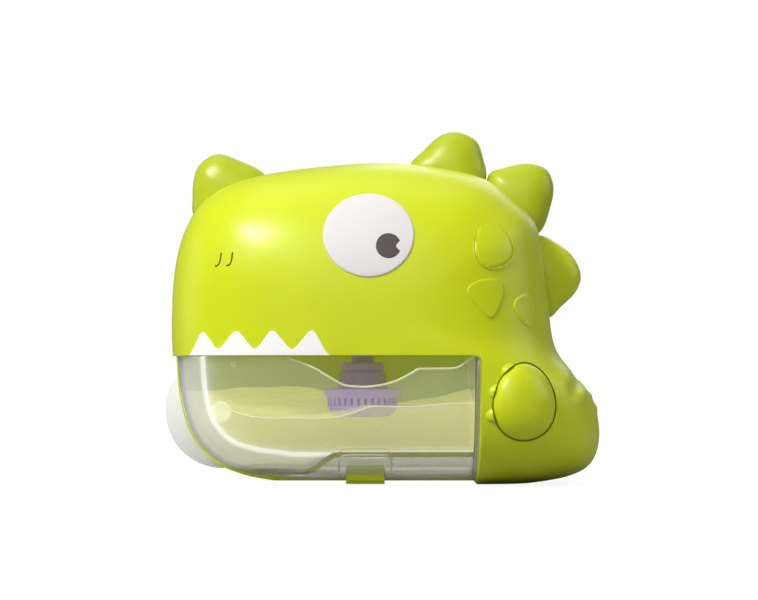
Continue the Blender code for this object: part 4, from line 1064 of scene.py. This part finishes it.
# --- small pieces ---
def suction_cup(name):
    at = CUPS[name]
    back, rim = BACK_Y / MM, BACK_Y / MM + 8
    edge = (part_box(name)[1][0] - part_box(name)[0][0]) / MM / 2
    profile = [(0, 31.2), (3.6, 31.2), (5.2, 32.6), (5.2, 34.2), (3.1, 34.2), (3.1, back + 0.4),
               (9, back + 0.4), (16, back + 1.9), (edge - 4, back + 5.2), (edge, rim - 0.5),
               (edge - 0.4, rim), (edge - 5.5, back + 5.9), (14.5, back + 3.4), (6, back + 2.4),
               (0, back + 2.3)]
    cup = turned(name + "_bell", profile, (at.x, 0, at.z), "Y", 128, 1.2)
    return smooth(cup, 50)


def on_plug(spot, normal):
    """True on the front of a cup's plug, which gets a painted glow for the light gathered through the
    clear bell.
    """
    return spot.y < 34.5 * MM and normal.y < -0.6


def screw(node):
    """A pan-head screw with a cross recess, along Y or Z."""
    low, high = (Vector(v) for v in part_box(node))
    size = high - low
    centre = (low + high) / 2
    upright = size.z > size.y
    length = (size.z if upright else size.y) / MM
    profile = [(0, 2), (1.9, 2), (2.8, 1.2), (2.8, 0), (1.3, 0),
               (1.3, -length + 2.8), (0.5, -length + 2), (0, -length + 2)]
    made = turned(node + "_head", profile, (0, 0, 0), "Z", 40, 0.3)
    cut(made, box("cross_a", (-1.5, -0.3, 1.1), (1.5, 0.3, 3)),
        box("cross_b", (-0.3, -1.5, 1.1), (0.3, 1.5, 3)))
    if upright:
        made.data.transform(Matrix.Translation((centre.x, centre.y, high.z - 2 * MM)))
    else:
        made.data.transform(Matrix.Translation((centre.x, high.y - 2 * MM, centre.z)) @
                            Matrix.Rotation(-math.pi / 2, 4, "X"))
    return smooth(made, 35)


def soap_water():
    """The solution, lapping higher at the back than at the front."""
    film = 0.08 * MM
    level = tank_volume("soap_water", TANK_WALL + film, 2.2 * MM, TANK_BACK_Y - TANK_WALL - film)
    keep_inside(level, above_step("water_floor", TANK_FLOOR_Z + film, TANK_STEP_Z + film))
    work = bmesh.new()
    nx, ny = 90, 44
    grid = []
    for i in range(nx + 1):
        column = []
        for j in range(ny + 1):
            x, y = -100 + 150 * i / nx, -50 + 80 * j / ny
            column.append(work.verts.new((x * MM, y * MM, wave_height(x, y) * MM)))
        grid.append(column)
    for i in range(nx):
        for j in range(ny):
            work.faces.new((grid[i][j], grid[i + 1][j], grid[i + 1][j + 1], grid[i][j + 1]))
    top = bmesh.ops.extrude_face_region(work, geom=work.faces[:])
    for v in top["geom"]:
        if isinstance(v, bmesh.types.BMVert):
            v.co.z = 100 * MM
    bmesh.ops.recalc_face_normals(work, faces=work.faces)
    cut(level, object_from(work, "air"))
    return smooth(level, 40)


def wave_height(x, y):
    """Surface height in mm: front and back profiles blended across the tank, with ripples."""
    back = np.interp(x, (-96, -88, -60, -45, -30, -12, 8, 26, 40),
                     (40.5, 41.5, 42.8, 43.4, 42.4, 38.5, 36.2, 38.0, 42.6))
    front = np.interp(x, (-96, -80, -60, -45, -30, -18, -4, 12, 26, 40),
                      (37, 35.2, 31.4, 30.2, 29.6, 31.5, 35.4, 35.6, 36.2, 37.5))
    share = min(max((y + 40) / 62, 0.0), 1.0)
    share = share * share * (3 - 2 * share)
    ripple = 0.35 * math.sin(x * 0.21 + y * 0.12) + 0.25 * math.sin(x * 0.11 - y * 0.31 + 1.3)
    return front + (back - front) * share + ripple


# --- put it together ---
shell = place(front_shell(), "head", "green_plastic", stands_for=["front_shell"])
# The nostril walls get the darker green as painted shade.
repaint(shell, "groove", in_nostril)
place(toes(), "head", "green_plastic", "green_soft")
place(scales(), "head", "green_plastic", "green_soft")
place(rear_shell(), "head", "green_plastic", stands_for=["rear_shell"])
for spike_name in SPIKES:
    # All spikes but the low one get the darker green copy as painted shade.
    skin = "green_plastic" if spike_name == "back_spike_low" else "green_spike_painted_shade"
    place(spike(spike_name), "head", "green_plastic", skin, stands_for=[spike_name])
eye_outline = ellipse(EYE_CENTRE, EYE_HALF)
place(smooth(patch("eye_disc", eye_outline, 0.75 * MM, 0.6 * MM, 0.8 * MM, dome=eye_dome), 40),
      "head", "white_plastic", "eye_white", stands_for=["eye_white"])
place(smooth(patch("pupil_disc", pupil_outline(), 1.15 * MM, 0.2 * MM, 0.2 * MM, 0.8 * MM), 40),
      "head", "pupil_ink", stands_for=["eye_pupil"])
place(smooth(patch("teeth_row", teeth_outline(), 0.28 * MM, 0.2 * MM, 0.9 * MM), 40),
      "head", "white_plastic", stands_for=["teeth_strip"])
place(foot_button(), "button", "green_plastic", stands_for=["foot_button"])
place(tank(), "tank", "clear_plastic", stands_for=["tank"])
place(spout_lip(), "tank", "clear_plastic", "clear_edge_painted_highlight")
place(soap_water(), "tank", "clear_plastic", "soap_water")
place(waterline(), "tank", "clear_plastic", "meniscus")
place(latch_rim(), "tank", "clear_plastic", "clear_rib")
place(moulding_marks(), "tank", "clear_plastic", "meniscus")
# The basket takes the lighter purple copy, painted light with a stronger painted glow.
basket = place(frother_basket(), "basket", "purple_plastic", "purple_cup_painted_light", ["frother_basket"])
repaint(basket, "purple_shade", in_basket)
place(frother_neck(), "head", "purple_plastic", stands_for=["frother_neck"])
for cup_name in CUPS:
    cup = place(suction_cup(cup_name), "head", "clear_silicone", stands_for=[cup_name])
    # The plug fronts get the painted glow.
    repaint(cup, "plug_painted_glow", on_plug)
for node in (*REAR_SCREWS, "bracket_screw_left", "bracket_screw_right"):
    place(screw(node), "head", "steel", stands_for=[node])
for node in ("door_screw_low", "door_screw_high"):
    place(screw(node), "battery_cover", "steel", stands_for=[node])

NODE_SLOTS = {entry["node"]: entry["material_slot"] for entry in frame["record"]["subparts"]}
for name, obj in frame["nodes"].items():
    # The tank bay gets the green with a painted glow.
    finish = MATERIALS["green_bay_painted_glow" if name == "tank_bay" else NODE_SLOTS[name]]
    obj.data.materials.clear()
    obj.data.materials.append(finish)

EDGE_WIDTHS = {
    "tank_latch": 0.35,
    "battery_box": 0.4,
    "battery_door": 0.4,
    "motor_bracket": 0.4,
    "switch_body": 0.25,
    "control_chip": 0.15,
    "tank_bay": 0.3,
}
for name, width in EDGE_WIDTHS.items():
    edge = frame["nodes"][name].modifiers.new("Edge", "BEVEL")
    edge.width = width * MM
    edge.segments = 3
    edge.limit_method = "ANGLE"
    edge.angle_limit = math.radians(50)


# --- stage, light and camera ---
def stage_floor():
    n = Nodes("floor")
    speck = n.noise(40.0, 3.0)
    base = n.tint(n.span(speck, 0, 1), (0.34, 0.34, 0.34), (0.36, 0.36, 0.36))
    surface = n.add("BsdfDiffuse", {"Color": base})
    lift = n.add("Emission", {"Color": (1, 1, 1, 1), "Strength": 0.9})
    both = n.add("AddShader")
    n.tree.links.new(surface.outputs["BSDF"], both.inputs[0])
    n.tree.links.new(lift.outputs["Emission"], both.inputs[1])
    path = n.add("LightPath")
    watched = n.maths("MAXIMUM", path.outputs["Is Camera Ray"], path.outputs["Is Transmission Ray"])
    material = n.finish(n.mixed(watched, surface, both))
    work = bmesh.new()
    bmesh.ops.create_grid(work, x_segments=8, y_segments=8, size=4.0)
    floor = object_from(work, "floor")
    floor.location.z = -0.0002
    floor.data.materials.append(material)


def world_light():
    world = bpy.data.worlds.new("studio")
    bpy.context.scene.world = world
    world.use_nodes = True
    new, link = world.node_tree.nodes.new, world.node_tree.links.new
    world.node_tree.nodes.clear()
    seen = new("ShaderNodeBackground")
    seen.inputs["Color"].default_value = (1, 1, 1, 1)
    light = new("ShaderNodeBackground")
    light.inputs["Strength"].default_value = 0.31
    split = new("ShaderNodeSeparateXYZ")
    link(new("ShaderNodeTexCoord").outputs["Generated"], split.inputs["Vector"])
    grey = new("ShaderNodeMapRange")
    grey.inputs["From Min"].default_value = -1.0
    grey.inputs["To Min"].default_value = 0.12
    link(split.outputs["Z"], grey.inputs["Value"])
    link(grey.outputs["Result"], light.inputs["Color"])
    mix = new("ShaderNodeMixShader")
    link(new("ShaderNodeLightPath").outputs["Is Camera Ray"], mix.inputs["Fac"])
    link(light.outputs["Background"], mix.inputs[1])
    link(seen.outputs["Background"], mix.inputs[2])
    link(mix.outputs["Shader"], new("ShaderNodeOutputWorld").inputs["Surface"])


def softbox(name, at, target, size, power):
    light = bpy.data.lights.new(name, "AREA")
    light.shape = "SQUARE"
    light.size = size
    light.energy = power
    made = object_of(light, name)
    made.location = at
    made.rotation_euler = (Vector(target) - Vector(at)).to_track_quat("-Z", "Y").to_euler()


def camera():
    lens = bpy.data.cameras.new("view")
    lens.sensor_width = 36
    lens.lens = 83.4
    lens.clip_start = 0.01
    made = object_of(lens, "view")
    made.location = (-0.00046, -0.788, 0.0534)
    made.rotation_euler = (math.radians(90 + 2.12), 0, 0)
    bpy.context.scene.camera = made


stage_floor()
world_light()
softbox("key", (-0.65, -0.69, 0.82), (-0.02, 0, 0.08), 0.28, 11.5)
softbox("front", (-0.1, -1.25, 0.65), (0, 0, 0.08), 0.9, 3.6)
softbox("side", (1.0, -0.05, 0.45), (0.05, 0, 0.08), 0.6, 1.5)
softbox("rim", (-1.0, 0.25, 0.25), (-0.05, 0, 0.08), 0.5, 0.6)
softbox("back", (0.35, 1.05, 0.75), (0, 0, 0.08), 0.8, 3.0)
softbox("top", (-0.1, 0.05, 1.0), (0, 0, 0.05), 0.8, 1.6)
camera()
bpy.context.scene.view_settings.view_transform = "Standard"
